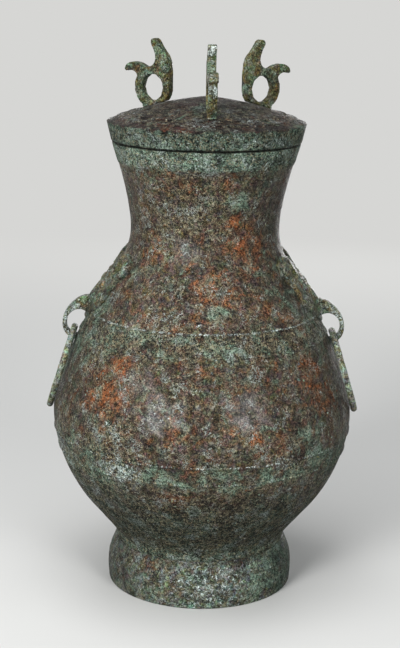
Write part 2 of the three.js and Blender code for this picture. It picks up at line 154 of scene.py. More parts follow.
class Graph:
    """Builds a node tree, for a material or for Geometry Nodes."""

    def __init__(self, tree: bpy.types.NodeTree) -> None:
        """Wraps a node tree."""
        self.tree = tree

    def node(self, kind: str, settings: dict[str, Any] | None = None,
             inputs: dict[int | str, Value] | None = None) -> bpy.types.Node:
        """Adds a node of any kind.

        Args:
            kind: the node's type name.
            settings: the node's own properties, set before its sockets.
            inputs: for each socket, by name or number, its number or what it is linked to.

        Returns:
            The new node.
        """
        made = self.tree.nodes.new(kind)
        for name, setting in (settings or {}).items():
            setattr(made, name, setting)
        for key, value in (inputs or {}).items():
            source = value.socket if isinstance(value, Num) else value
            if isinstance(source, bpy.types.NodeSocket):
                self.tree.links.new(source, made.inputs[key])
            else:
                made.inputs[key].default_value = source
        return made

    def vector(self, operation: str, *operands: Value, scale: Value | None = None,
               output: int = 0) -> bpy.types.NodeSocket:
        """Adds a Vector Math node.

        Args:
            operation: the node's operation.
            operands: its vectors, in order.
            scale: its factor, for the SCALE operation.
            output: the number of the output that is wanted.

        Returns:
            That output.
        """
        inputs: dict[int | str, Value] = dict(enumerate(operands))
        if scale is not None:
            inputs["Scale"] = scale
        return self.node("ShaderNodeVectorMath", {"operation": operation}, inputs).outputs[output]

    def length(self, vector: Value) -> bpy.types.NodeSocket:
        """Returns a vector's length."""
        return self.vector("LENGTH", vector, output=1)

    def part(self, vector: Value, axis: str) -> Num:
        """Returns a vector's X, Y or Z."""
        return Num(self, self.node("ShaderNodeSeparateXYZ", {}, {0: vector}).outputs[axis])

    def combine(self, parts: dict[int, Value]) -> bpy.types.NodeSocket:
        """Returns the vector that has these parts, by axis number, and 0 elsewhere."""
        return self.node("ShaderNodeCombineXYZ", {}, parts).outputs[0]

    def place(self) -> bpy.types.NodeSocket:
        """Returns the shading point's place in the shared frame, in millimetres."""
        return self.vector("MULTIPLY", self.node("ShaderNodeTexCoord").outputs["Object"], MM_PER_METRE)

    def mesh_place(self) -> bpy.types.NodeSocket:
        """Returns a mesh point's place in the shared frame, in millimetres, for Geometry Nodes."""
        return self.vector("MULTIPLY", self.node("GeometryNodeInputPosition").outputs[0], MM_PER_METRE)

    def noise(self, place: Value, size: float, detail: float = 2.0, rough: float = 0.5,
              warp: float = 0.0) -> Num:
        """Adds soft noise.

        Args:
            place: where to look it up, in millimetres.
            size: the width of its coarsest spots, in millimetres.
            detail: how many finer octaves it holds.
            rough: how strong the finer octaves are.
            warp: how far its spots are twisted.

        Returns:
            A value around 0.5.
        """
        inputs = {"Vector": place, "Scale": 1 / size, "Detail": detail, "Roughness": rough,
                  "Distortion": warp}
        return Num(self, self.node("ShaderNodeTexNoise", {}, inputs).outputs["Fac"])

    def step(self, value: Value, low: float, high: float) -> Num:
        """Adds a smooth step.

        Args:
            value: what is looked at.
            low, high: the values between which the step rises.

        Returns:
            0 below the low value and 1 above the high one, with a smooth rise between.
        """
        inputs = {"Value": value, "From Min": low, "From Max": high}
        made = self.node("ShaderNodeMapRange", {"interpolation_type": "SMOOTHSTEP"}, inputs)
        return Num(self, made.outputs["Result"])

    def mix(self, share: Value, first: Value, second: Value) -> bpy.types.NodeSocket:
        """Returns a colour between two colours."""
        settings = {"data_type": "RGBA"}
        return self.node("ShaderNodeMix", settings, {0: share, 6: first, 7: second}).outputs[2]


def empty_material(name: str) -> tuple[bpy.types.Material, Graph]:
    """Makes a material with no nodes.

    Args:
        name: the material's name.

    Returns:
        The material and its graph.
    """
    made = bpy.data.materials.new(name)
    made.use_nodes = True
    made.node_tree.nodes.clear()
    return made, Graph(made.node_tree)


# A patch is full out to its core and gone past its rim, and a belt is full out to its core, all as
# shares of the reach.
PATCH_CORE = 0.1
PATCH_RIM = 1.25
BELT_CORE = 0.35


@dataclass(frozen=True)
class Patch:
    """A spot of corrosion, painted shade or painted highlight that the photograph shows.

    turn is its azimuth in degrees, 0 in front and positive to the right. height and reach are in
    millimetres, and tall stretches the spot upwards. It lies on the jar's wall, or where from_axis
    says.
    """

    turn: float
    height: float
    reach: float
    strength: float = 1.0
    tall: float = 1.0
    from_axis: float = 0.0

    def share(self, graph: Graph, place: Value) -> Num:
        """Finds how strongly the patch covers a place.

        Args:
            graph: the material's graph.
            place: the place, in millimetres.

        Returns:
            The cover, from 0 to the patch's strength.
        """
        turn = math.radians(self.turn)
        radius = self.from_axis or wall_radius(self.height)
        centre = (radius * math.sin(turn), -radius * math.cos(turn), self.height)
        offset = graph.vector("SUBTRACT", place, centre)
        distance = graph.length(graph.vector("MULTIPLY", offset, (1, 1, 1 / self.tall)))
        return (1 - graph.step(distance, PATCH_CORE * self.reach, PATCH_RIM * self.reach)) * self.strength


@dataclass(frozen=True)
class Belt:
    """A height at which a mineral, painted shade or a painted highlight gathers all round, and how far up
    and down it reaches.
    """

    height: float
    reach: float
    strength: float = 1.0

    def share(self, graph: Graph, place: Value) -> Num:
        """Returns how strongly the belt covers a place, given in millimetres."""
        away = abs(graph.part(place, "Z") - self.height)
        return (1 - graph.step(away, BELT_CORE * self.reach, self.reach)) * self.strength


class Mineral(Enum):
    """What gathers in patches and belts: corrosion products, a real gloss whose colour is a painted
    highlight, painted shade and busy flecks.
    """

    GLOSS_AND_PAINTED_HIGHLIGHT = "gloss_and_painted_highlight"
    RUST = "rust"
    GREEN = "green"
    CHALK = "chalk"
    DARK = "dark"
    FLECKS = "flecks"


Spots = tuple[Union[Patch, Belt], ...]

JAR_SPOTS: dict[Mineral, Spots] = {
    # Painted highlight: these patches sit where the soft boxes' highlights fall on the belly, neck and
    # shoulder and lay a pale lilac-grey colour there; their share also gives a real coat gloss.
    Mineral.GLOSS_AND_PAINTED_HIGHLIGHT: (
        Patch(-16, 168, 26, 1.0), Patch(17, 171, 26, 1.1), Patch(-13, 282, 15, 1.0),
        Patch(-30, 190, 20, 0.6), Patch(-14, 311, 16, 0.7), Patch(40, 190, 22, 0.5),
        Patch(-38, 238, 14, 0.5),
    ),
    Mineral.RUST: (
        Belt(176, 46, 0.08), Belt(258, 44, 0.14), Patch(20, 301, 10), Patch(33, 282, 22, 1.1, 1.2),
        Patch(-43, 276, 14, 0.8), Patch(-12, 331, 10, 0.7), Patch(17, 336, 8, 0.8),
        Patch(-31, 229, 12, 0.9), Patch(-37, 200, 14, 0.9), Patch(-42, 176, 30, 1.2, 0.8),
        Patch(50, 194, 20, 1.6), Patch(55, 172, 20, 1.4), Patch(19, 151, 12, 0.8),
        Patch(46, 235, 12, 0.9), Patch(-9, 158, 16, 0.7), Patch(-10, 98, 16, 0.7),
        Patch(-27, 349, 12, 1.5), Patch(8, 258, 26, 0.6),
    ),
    Mineral.GREEN: (
        Belt(354, 13, 1.3), Belt(218, 13, 0.45), Belt(122, 14, 0.6), Belt(50, 64, 0.9),
        Patch(29, 320, 16, 0.7), Patch(-44, 116, 30, 0.9), Patch(46, 142, 20, 0.8),
        Patch(34, 84, 34, 0.9), Patch(85, 215, 60, 0.8), Patch(-85, 215, 60, 0.8),
        Patch(180, 150, 90, 0.6), Patch(8, 240, 12, 0.3), Patch(-5, 240, 9, 0.3),
        Patch(58, 250, 30, 0.5), Patch(-62, 114, 38, 0.8), Patch(60, 116, 34, 0.8),
    ),
    Mineral.CHALK: (
        # Painted highlight: the thin belts at 226.4, 210, 131.7 and 117.2 lie on the string ridges and
        # paint them as pale lit lines, and the patches at (-16, 168), (-14, 284) and (-15, 311) paint the
        # pale cores of the belly and neck highlights. The patch at (-70, 122) is pale crust and also paints
        # the lit strip along the left outline. The other spots are pale crust.
        Patch(-16, 168, 14, 0.4), Patch(-35, 154, 14, 0.8), Patch(-32, 123, 28, 1.4, 0.5),
        Patch(-14, 284, 9, 0.7), Patch(35, 130, 12, 0.7, 0.6), Patch(-15, 311, 14, 0.5),
        Patch(-70, 122, 34, 1.2, 0.6), Patch(-50, 200, 12, 0.4), Patch(-20, 236, 6, 1.0),
        Patch(-2, 232, 5, 0.8), Belt(226.4, 1.1, 1.1), Belt(210, 1.3, 0.4), Belt(131.7, 1.3, 0.7),
        Belt(117.2, 1.3, 0.4), Belt(352, 10, 0.6), Belt(50, 60, 0.3),
    ),
    # Painted shade: these spots darken the lower belly, the sides of the belly, shoulder and neck, the
    # shoulder band, the joint over the foot, and the top of the mouth under the lid's band as the lid's
    # shadow.
    Mineral.DARK: (
        Belt(74, 48, 1.1), Patch(-80, 305, 34, 0.9), Patch(74, 315, 52), Patch(80, 96, 76, 1.0),
        Patch(88, 175, 105, 0.95), Patch(-20, 106, 14, 0.4), Patch(74, 258, 52, 0.8),
        Belt(361, 2.4, 1.6), Patch(-92, 175, 100, 0.85), Belt(39, 3, 0.5), Patch(-66, 190, 26, 0.5),
        Belt(218, 13, 0.3), Patch(-62, 236, 40, 0.3),
    ),
    Mineral.FLECKS: (
        Belt(72, 56, 1.0), Patch(-34, 138, 34, 0.9), Patch(-10, 316, 36, 0.7), Belt(218, 14, 0.6),
        Belt(352, 12, 0.4), Patch(36, 126, 24, 0.6), Patch(-52, 205, 24, 0.5),
        Patch(-60, 118, 36, 0.9), Patch(58, 96, 36, 0.8),
    ),
}


@dataclass(frozen=True)
class Growth:
    """How one mineral grows over the bronze.

    dull and bright are its two shades, and size is the width of its spots in millimetres. It shows
    where its noise passes start and covers where it passes full. gain is how much a spot of the
    photograph helps it, cover how much the finish's own share does, broken how much the fine grain
    breaks its edge, and depth how thick its colour gets.
    """

    dull: Colour
    bright: Colour
    size: float
    start: float
    full: float
    gain: float
    cover: float
    broken: float
    depth: float


GROWTHS: dict[Mineral, Growth] = {
    # This entry's colours paint a lilac-grey highlight; the same share sets the coat's real gloss.
    Mineral.GLOSS_AND_PAINTED_HIGHLIGHT: Growth(srgb(84, 80, 78), srgb(112, 108, 111), 16, 0.6, 1.05, 0.36, 0.1, 0.05, 0.55),
    Mineral.RUST: Growth(srgb(94, 66, 47), srgb(136, 80, 45), 9, 0.55, 0.98, 0.28, 0.06, 0.1, 0.85),
    Mineral.GREEN: Growth(srgb(74, 92, 80), srgb(112, 136, 118), 12, 0.54, 0.86, 0.34, 0.1, 0.2, 0.8),
    Mineral.CHALK: Growth(srgb(126, 142, 134), srgb(190, 202, 200), 2.6, 0.66, 0.84, 0.24, 0.08, 0.2, 0.75),
}


@dataclass(frozen=True)
class Ground:
    """What all layers of one finish share: the place in millimetres and three noises."""

    graph: Graph
    frame_place: bpy.types.NodeSocket
    place: bpy.types.NodeSocket
    grain: Num
    pepper: Num
    busy: Num

    def grained(self, strength: float) -> Num:
        """Returns the fine grain as a change round 0."""
        return (self.grain - 0.5) * strength


# The colours of the layers that every patina shares.
STREAK_COLOUR = srgb(16, 12, 11)
# The near-black that painted shade is mixed towards.
PAINTED_SHADE_COLOUR = srgb(10, 10, 9)
PIT_COLOUR = srgb(9, 8, 7)
OCHRE_CRYSTAL = srgb(206, 194, 156)
PALE_CRYSTAL = srgb(198, 212, 206)

# A span holds the two noise values between which a layer rises.
WARM_SPAN = (0.76, 1.2)
COOL_SPAN = (0.42, 0.68)
SHADE_SPAN = (0.4, 0.62)
PEPPER_SPAN = (0.37, 0.63)
PIT_SPAN = (0.3, 0.4)
DOT_SPAN = (0.68, 0.78)
CROWD_SPAN = (0.42, 0.6)
OCHRE_SPAN = (0.48, 0.66)
CURL_SPAN = (0.01, 0.034)
STREAK_SPAN = (0.44, 0.6)


@dataclass(frozen=True)
class Patina:
    """A corroded bronze surface, in layers from the metal's film to the crystals on it.

    The sheen's share, whose colour is a painted highlight and which also sets a real coat gloss,
    and rust, green and chalk say how much each covers away from its spots, cool how grey-green the
    film is, salt how dense the pale crystals are, pits how dense the dark pits are, and hoops how
    dark the streaks are that run round the axis above a height. The recess field names the attribute
    that marks a relief's low places for painted shade, if the piece has one. seed shifts the noise, so
    that no two finishes repeat each other. The other fields are the same in every finish.
    """

    name: str
    film: Colour = srgb(60, 51, 43)
    film_warm: Colour = srgb(88, 74, 59)
    film_cool: Colour = srgb(73, 78, 68)
    cool: float = 0.7
    gloss_and_painted_highlight: float = 0.0
    rust: float = 0.8
    green: float = 0.1
    chalk: float = 0.0
    salt: float = 0.8
    pits: float = 0.7
    hoops: float = 0.0
    hoops_above: float = 0.0
    painted_recess_shade: str = ""
    seed: float = 0.0
    spots: tuple[tuple[Mineral, Spots], ...] = ()

    seed_shares: tuple[float, float, float] = (1.0, 1.7, 0.6)
    mineral_shift: float = 90.0
    hue_size: float = 5.0
    hue_gain: tuple[float, float, float] = (0.9, 0.9, 1.6)
    hue_base: tuple[float, float, float] = (0.55, 0.55, 0.2)
    painted_shade_depth: float = 0.65
    painted_shade_hides_salt: float = 0.3
    relief_height: float = 1.2
    roughness: float = 0.42
    specular: float = 0.14
    coat: float = 0.5
    coat_roughness: float = 0.38

    def material(self) -> bpy.types.Material:
        """Builds the finish's material.

        Returns:
            The material.
        """
        made, graph = empty_material(self.name)
        ground = self.ground(graph)
        colour, gloss, crust = self.minerals(ground, self.film_colour(ground))
        if self.hoops:
            colour = graph.mix(self.streaks(ground) * self.hoops, colour, STREAK_COLOUR)
        # Painted shade: the shaded sides, lower parts, gaps and relief hollows are mixed towards
        # near-black.
        dark = self.painted_shade(ground)
        colour = graph.mix(dark * self.painted_shade_depth, colour, PAINTED_SHADE_COLOUR)
        flecked = self.gathered(ground, Mineral.FLECKS)
        colour = graph.vector("SCALE", colour, scale=self.brightness(ground, flecked))
        pits = self.pitting(ground, flecked)
        colour = graph.mix(pits * (0.5 + 0.4 * self.pits), colour, PIT_COLOUR)
        salt = self.crystals(ground, flecked)
        colour = graph.mix(salt * (1 - self.painted_shade_hides_salt * dark), colour, self.crystal_colour(ground))

        relief = 0.7 * ground.pepper + 0.9 * ground.grain + 0.3 * salt - 0.5 * pits + 0.25 * crust
        bump = graph.node("ShaderNodeBump", {}, {
            "Strength": 1.0, "Distance": self.relief_height * MM, "Height": relief})
        shader = graph.node("ShaderNodeBsdfPrincipled", {}, {
            "Base Color": colour, "Roughness": self.roughness + 0.3 * crust + 0.25 * pits,
            "Specular IOR Level": self.specular, "Coat Weight": gloss * self.coat,
            "Coat Roughness": self.coat_roughness, "Normal": bump.outputs[0]})
        graph.node("ShaderNodeOutputMaterial", {}, {0: shader.outputs[0]})
        return made

    def ground(self, graph: Graph) -> Ground:
        """Adds the coordinates and noises that all layers share.

        Args:
            graph: the material's graph.

        Returns:
            The shared sockets.
        """
        frame_place = graph.place()
        place = graph.vector("ADD", frame_place, tuple(self.seed * share for share in self.seed_shares))
        return Ground(graph, frame_place, place,
                      grain=graph.noise(place, size=2.4, detail=1, rough=0.6, warp=0.5),
                      pepper=graph.noise(place, size=1.35, detail=1, rough=0.5, warp=1.3),
                      busy=graph.noise(place, size=11, detail=2, rough=0.6, warp=0.4))

    def gathered(self, ground: Ground, mineral: Mineral) -> Num | float:
        """Finds how strongly a mineral's spots cover the shading point.

        Args:
            ground: the shared sockets.
            mineral: the mineral.

        Returns:
            The cover, or a plain 0 where the finish has no such spots.
        """
        total: Num | float = 0.0
        for spot in dict(self.spots).get(mineral, ()):
            total = spot.share(ground.graph, ground.frame_place).larger(total)
        return total

    def painted_shade(self, ground: Ground) -> Num | float:
        """Finds how much painted shade the shading point gets, from shade spots or low in the relief.

        Args:
            ground: the shared sockets.

        Returns:
            The painted shade's share, or a plain 0 where the finish has none.
        """
        dark = self.gathered(ground, Mineral.DARK)
        if not self.painted_recess_shade:
            return dark
        low = ground.graph.node("ShaderNodeAttribute", {"attribute_name": self.painted_recess_shade}).outputs["Fac"]
        return Num(ground.graph, low).larger(dark)

    def brightness(self, ground: Ground, flecked: Value) -> Num:
        """Returns how bright the fine pepper leaves the colour, with more contrast where it is flecked."""
        peppered = ground.graph.step(ground.pepper, *PEPPER_SPAN)
        return 0.24 - 0.2 * flecked + (1.62 + 0.3 * flecked) * peppered

    def film_colour(self, ground: Ground) -> bpy.types.NodeSocket:
        """Finds the colour of the smooth film on the metal, before anything grows on it.

        Args:
            ground: the shared sockets.

        Returns:
            The colour.
        """
        graph = ground.graph
        tone = graph.noise(ground.place, size=26, detail=2, rough=0.55, warp=0.3)
        mottle = graph.noise(ground.place, size=7.5, detail=2, rough=0.6, warp=0.8)
        colour = graph.mix(graph.step(mottle + tone, *WARM_SPAN), self.film, self.film_warm)
        spread = graph.noise(ground.place, size=8, detail=2, rough=0.6, warp=0.8)
        cool = graph.step(spread + ground.grained(0.2), *COOL_SPAN)
        colour = graph.mix(cool * self.cool, colour, self.film_cool)
        hues = graph.node("ShaderNodeTexNoise", {}, {
            "Vector": ground.place, "Scale": 1 / self.hue_size, "Detail": 1.0, "Distortion": 0.8})
        jitter = graph.vector("MULTIPLY_ADD", hues.outputs["Color"], self.hue_gain, self.hue_base)
        return graph.vector("MULTIPLY", colour, jitter)

    def minerals(self, ground: Ground, colour: Value) -> tuple[Value, Num, Value]:
        """Lays the minerals over the film.

        Args:
            ground: the shared sockets.
            colour: the film's colour.

        Returns:
            The new colour, how glossy the place is and how thick its crust is.
        """
        graph = ground.graph
        gloss: Value = 0.0
        crust: Value = 0.0
        for index, (mineral, growth) in enumerate(GROWTHS.items()):
            shifted = graph.vector("ADD", ground.place, (0, 0, self.mineral_shift * (index + 1)))
            spread = graph.noise(shifted, growth.size, detail=3, rough=0.55, warp=0.8)
            own = growth.cover * getattr(self, mineral.value)
            lift = self.gathered(ground, mineral) * growth.gain + own
            share = graph.step(spread + ground.grained(growth.broken) + lift, growth.start, growth.full)
            shade = graph.mix(graph.step(spread, *SHADE_SPAN), growth.dull, growth.bright)
            colour = graph.mix(share * growth.depth, colour, shade)
            # This share paints the highlight colour above and also sets the coat's real gloss.
            if mineral is Mineral.GLOSS_AND_PAINTED_HIGHLIGHT:
                gloss = share
            else:
                crust = crust + share
        return colour, gloss, crust

    def pitting(self, ground: Ground, flecked: Value) -> Num:
        """Finds where small dark pits and cracks lie, more of them where the surface is flecked.

        Args:
            ground: the shared sockets.
            flecked: how flecked the place is.

        Returns:
            How deep in a pit or crack the place lies, from 0 to 1.
        """
        graph = ground.graph
        holes = graph.noise(ground.place, size=2.2, detail=1, rough=0.6, warp=1.2)
        holes = holes + (ground.busy - 0.5) * 0.35 - flecked * 0.12
        cracks = self.curls(ground, size=4.4, level=0.45) * 0.7
        return (1 - graph.step(holes, *PIT_SPAN)).larger(cracks)

    def crystals(self, ground: Ground, flecked: Value) -> Num:
        """Finds where pale crystals lie: dots and short curls, more where the surface is flecked.

        Args:
            ground: the shared sockets.
            flecked: how flecked the place is.

        Returns:
            How much of the place they cover.
        """
        graph = ground.graph
        crowd = ground.busy + flecked * 0.19
        dots = graph.noise(ground.place, size=1.5, detail=1, rough=0.5, warp=1.6) + (crowd - 0.5) * 0.4
        worms = self.curls(ground, size=4.2, level=0.56) * graph.step(crowd, *CROWD_SPAN)
        return graph.step(dots, *DOT_SPAN).larger(worms * 0.8) * (0.36 + 0.44 * self.salt)

    def crystal_colour(self, ground: Ground) -> bpy.types.NodeSocket:
        """Returns the crystals' colour, ochre in some places and pale green in others."""
        return ground.graph.mix(ground.graph.step(ground.busy, *OCHRE_SPAN), OCHRE_CRYSTAL, PALE_CRYSTAL)

    def curls(self, ground: Ground, size: float, level: float) -> Num:
        """Returns thin curling lines, where a noise of a size passes a level."""
        loops = ground.graph.noise(ground.place, size, detail=2, rough=0.6, warp=1.4)
        return 1 - ground.graph.step(abs(loops - level), *CURL_SPAN)

    def streaks(self, ground: Ground) -> Num:
        """Finds broken streaks that run round the axis.

        Args:
            ground: the shared sockets.

        Returns:
            How streaked the place is, from 0 to 1, and 0 up to hoops_above.
        """
        graph = ground.graph
        flat = graph.vector("MULTIPLY", ground.frame_place, (1, 1, 0))
        round_axis = graph.vector("MULTIPLY", graph.vector("NORMALIZE", flat), (9, 9, 0))
        unrolled = graph.vector("ADD", round_axis, graph.combine({2: graph.length(flat)}))
        height = graph.part(ground.frame_place, "Z")
        above = graph.step(height, self.hoops_above, self.hoops_above + 1.5)
        return graph.step(graph.noise(unrolled, size=2.6, detail=3, rough=0.6), *STREAK_SPAN) * above


def spline(stations: Sequence[Row], count: int) -> list[Row]:
    """Samples the smooth curve through a profile's stations.

    Args:
        stations: the [radius, height] points that it passes.
        count: how many equal steps it is cut into.

    Returns:
        The sampled points.
    """
    points: list[Row] = []
    last = len(stations) - 1
    for step in range(count + 1):
        at = last * step / count
        index = min(int(at), last - 1)
        t = at - index
        around = [stations[max(0, min(last, index + offset))] for offset in (-1, 0, 1, 2)]
        point = []
        for before, start, end, after in zip(*around):
            leave = (end - before) / 2
            arrive = (after - start) / 2
            point.append((2 * start - 2 * end + leave + arrive) * t ** 3
                         + (3 * end - 3 * start - 2 * leave - arrive) * t ** 2 + leave * t + start)
        points.append((point[0], point[1]))
    return points


# The outside of the wall, [radius, height] in millimetres, as in the solids.
WALL_STATIONS: tuple[Row, ...] = (
    (68.6, 37.4), (71.4, 46), (84.2, 62), (98.6, 80), (110.6, 102), (118.2, 126), (120, 146), (116.6, 163),
    (109.6, 184), (101.2, 204.5), (90.4, 226), (77.8, 248), (66.4, 266.5), (60.2, 281), (58.8, 294),
    (60.6, 310), (65, 330.5), (73.4, 359.7),
)
WALL_STEPS = 600
WALL_SAMPLES = spline(WALL_STATIONS, WALL_STEPS)
WALL_HEIGHTS = [height for _, height in WALL_SAMPLES]


def wall_radius(height: float) -> float:
    """Finds the wall's outside radius.

    Args:
        height: where, in millimetres.

    Returns:
        The radius, in millimetres.
    """
    above = max(1, bisect_left(WALL_HEIGHTS, height))
    if above == len(WALL_SAMPLES):
        return WALL_SAMPLES[-1][0]
    low, high = WALL_SAMPLES[above - 1], WALL_SAMPLES[above]
    share = (height - low[1]) / (high[1] - low[1])
    return low[0] + (high[0] - low[0]) * max(0.0, share)


def wall_slope(height: float) -> float:
    """Returns how fast the wall's radius grows with height."""
    return wall_radius(height + 0.5) - wall_radius(height - 0.5)


def off_wall(height: float, distance: float) -> Row:
    """Finds a point off the wall.

    Args:
        height: the height of its foot on the wall, in millimetres.
        distance: how far it stands outside the wall, square to it.

    Returns:
        Its [radius, height].
    """
    slope = wall_slope(height)
    length = math.hypot(1, slope)
    return wall_radius(height) + distance / length, height - distance * slope / length


def levels(low: float, high: float, count: int) -> list[float]:
    """Returns count + 1 equally spaced values from low to high."""
    return [low + (high - low) * index / count for index in range(count + 1)]


def clamp(value: float, low: float = 0.0, high: float = 1.0) -> float:
    """Returns the value, kept between two limits."""
    return max(low, min(high, value))


def smooth(value: float, low: float, high: float) -> float:
    """Returns a smooth rise from 0 at the low value to 1 at the high one."""
    share = clamp((value - low) / (high - low))
    return share * share * (3 - 2 * share)


def hump(distance: float, width: float) -> float:
    """Returns a bell of height 1."""
    return math.exp(-((distance / width) ** 2))


def rounded_bead(place: float, centres: Sequence[float], half: float, rise: float) -> float:
    """Finds how far beads stand up at a place.

    Args:
        place: the place across the beads.
        centres: where the beads lie.
        half: half a bead's width.
        rise: how high a bead is.

    Returns:
        The height there, 0 beside the beads.
    """
    for centre in centres:
        reach = abs(place - centre) / half
        if reach < 1:
            return rise * (0.5 + 0.5 * math.cos(math.pi * reach))
    return 0.0


# The wear's lumps, each [height, width], and its craters, in millimetres. A crater deepens between
# the two noise values of its span.
WEAR_LUMPS: tuple[Row, ...] = ((0.1, 19), (0.09, 6.3), (0.08, 3.1))
CRATER_DEPTH = 0.4
CRATER_WIDTH = 8
CRATER_SPAN = (0.42, 0.7)
CRATER_SHIFT = Vector((31, 7, 5))


def wear(point: Vector, strength: float = 1.0) -> float:
    """Finds how far a corroded casting stands off its ideal surface.

    Args:
        point: where, in millimetres.
        strength: how rough the surface is.

    Returns:
        The distance in millimetres, at most about 0.3 of the strength outwards.
    """
    lumps = sum(height * noise.noise(point / width) for height, width in WEAR_LUMPS)
    craters = CRATER_DEPTH * smooth(noise.noise(point / CRATER_WIDTH + CRATER_SHIFT), *CRATER_SPAN)
    return strength * (lumps - craters)


def placed(name: str, mesh: bpy.types.Mesh) -> bpy.types.Object:
    """Puts a mesh into the scene.

    Args:
        name: the new object's name.
        mesh: its mesh.

    Returns:
        The new object, at the origin.
    """
    made = bpy.data.objects.new(name, mesh)
    bpy.context.scene.collection.objects.link(made)
    return made


def piece(name: str, vertices: Iterable[Sequence[float]],
          faces: Iterable[Sequence[int]]) -> bpy.types.Object:
    """Makes a smooth-shaded piece.

    Args:
        name: the piece's name.
        vertices: its points, in millimetres.
        faces: its faces, by point number.

    Returns:
        The new object, in metres, at the origin.
    """
    mesh = bpy.data.meshes.new(name)
    mesh.from_pydata([tuple(MM * value for value in vertex) for vertex in vertices], [], list(faces))
    mesh.shade_smooth()
    return placed(name, mesh)


def merge_points(mesh: bpy.types.Mesh, distance: float, outwards: bool) -> None:
    """Merges a mesh's doubled points.

    Args:
        mesh: the mesh.
        distance: how close doubled points lie, in metres.
        outwards: whether its faces are turned to the outside too.
    """
    work = bmesh.new()
    work.from_mesh(mesh)
    bmesh.ops.remove_doubles(work, verts=work.verts, dist=distance)
    if outwards:
        bmesh.ops.recalc_face_normals(work, faces=work.faces)
    work.to_mesh(mesh)
    work.free()


# How close doubled points lie, in metres, in a piece of this script and in a CAD node.
DOUBLED = 1e-6
DOUBLED_IN_NODE = 2e-6


def turned(name: str, rows: Sequence[Row], around: int,
           shape: Callable[[Vector, int], Vector]) -> bpy.types.Object:
    """Turns a profile round the jar's axis.

    Args:
        name: the piece's name.
        rows: [radius, height] points in millimetres. A profile that starts and ends at radius 0 is
            closed by two poles, and any other closes on itself.
        around: how many steps the turn has.
        shape: moves each point, given its place and its row's number.

    Returns:
        The closed piece.
    """
    poled = rows[0][0] == 0
    ring_rows = rows[1:-1] if poled else rows
    first_row = 1 if poled else 0
    vertices: list[Vector] = []
    for index, (radius, height) in enumerate(ring_rows):
        for step in range(around):
            turn = 2 * math.pi * step / around
            point = Vector((radius * math.cos(turn), radius * math.sin(turn), height))
            vertices.append(shape(point, index + first_row))
    count = len(ring_rows)
    faces: list[tuple[int, ...]] = []
    for index in range(count - 1 if poled else count):
        low = index * around
        high = ((index + 1) % count) * around
        for step in range(around):
            following = (step + 1) % around
            faces.append((low + step, low + following, high + following, high + step))
    if poled:
        for pole, base in ((rows[0], 0), (rows[-1], (count - 1) * around)):
            vertices.append(Vector((0, 0, pole[1])))
            for step in range(around):
                faces.append((len(vertices) - 1, base + (step + 1) % around, base + step))
    made = piece(name, vertices, faces)
    merge_points(made.data, DOUBLED, outwards=True)
    return made


def outward(point: Vector, rows: Sequence[Row], index: int) -> Vector:
    """Finds the direction square to a turned surface, away from the profile's left side.

    Args:
        point: the surface point, in millimetres.
        rows: the profile.
        index: the point's row.

    Returns:
        The unit vector.
    """
    before = rows[max(0, index - 1)]
    after = rows[min(len(rows) - 1, index + 1)]
    along = Vector((after[0] - before[0], after[1] - before[1])).normalized()
    flat = Vector((point.x, point.y)).normalized()
    return Vector((flat.x * along.y, flat.y * along.y, -along.x))


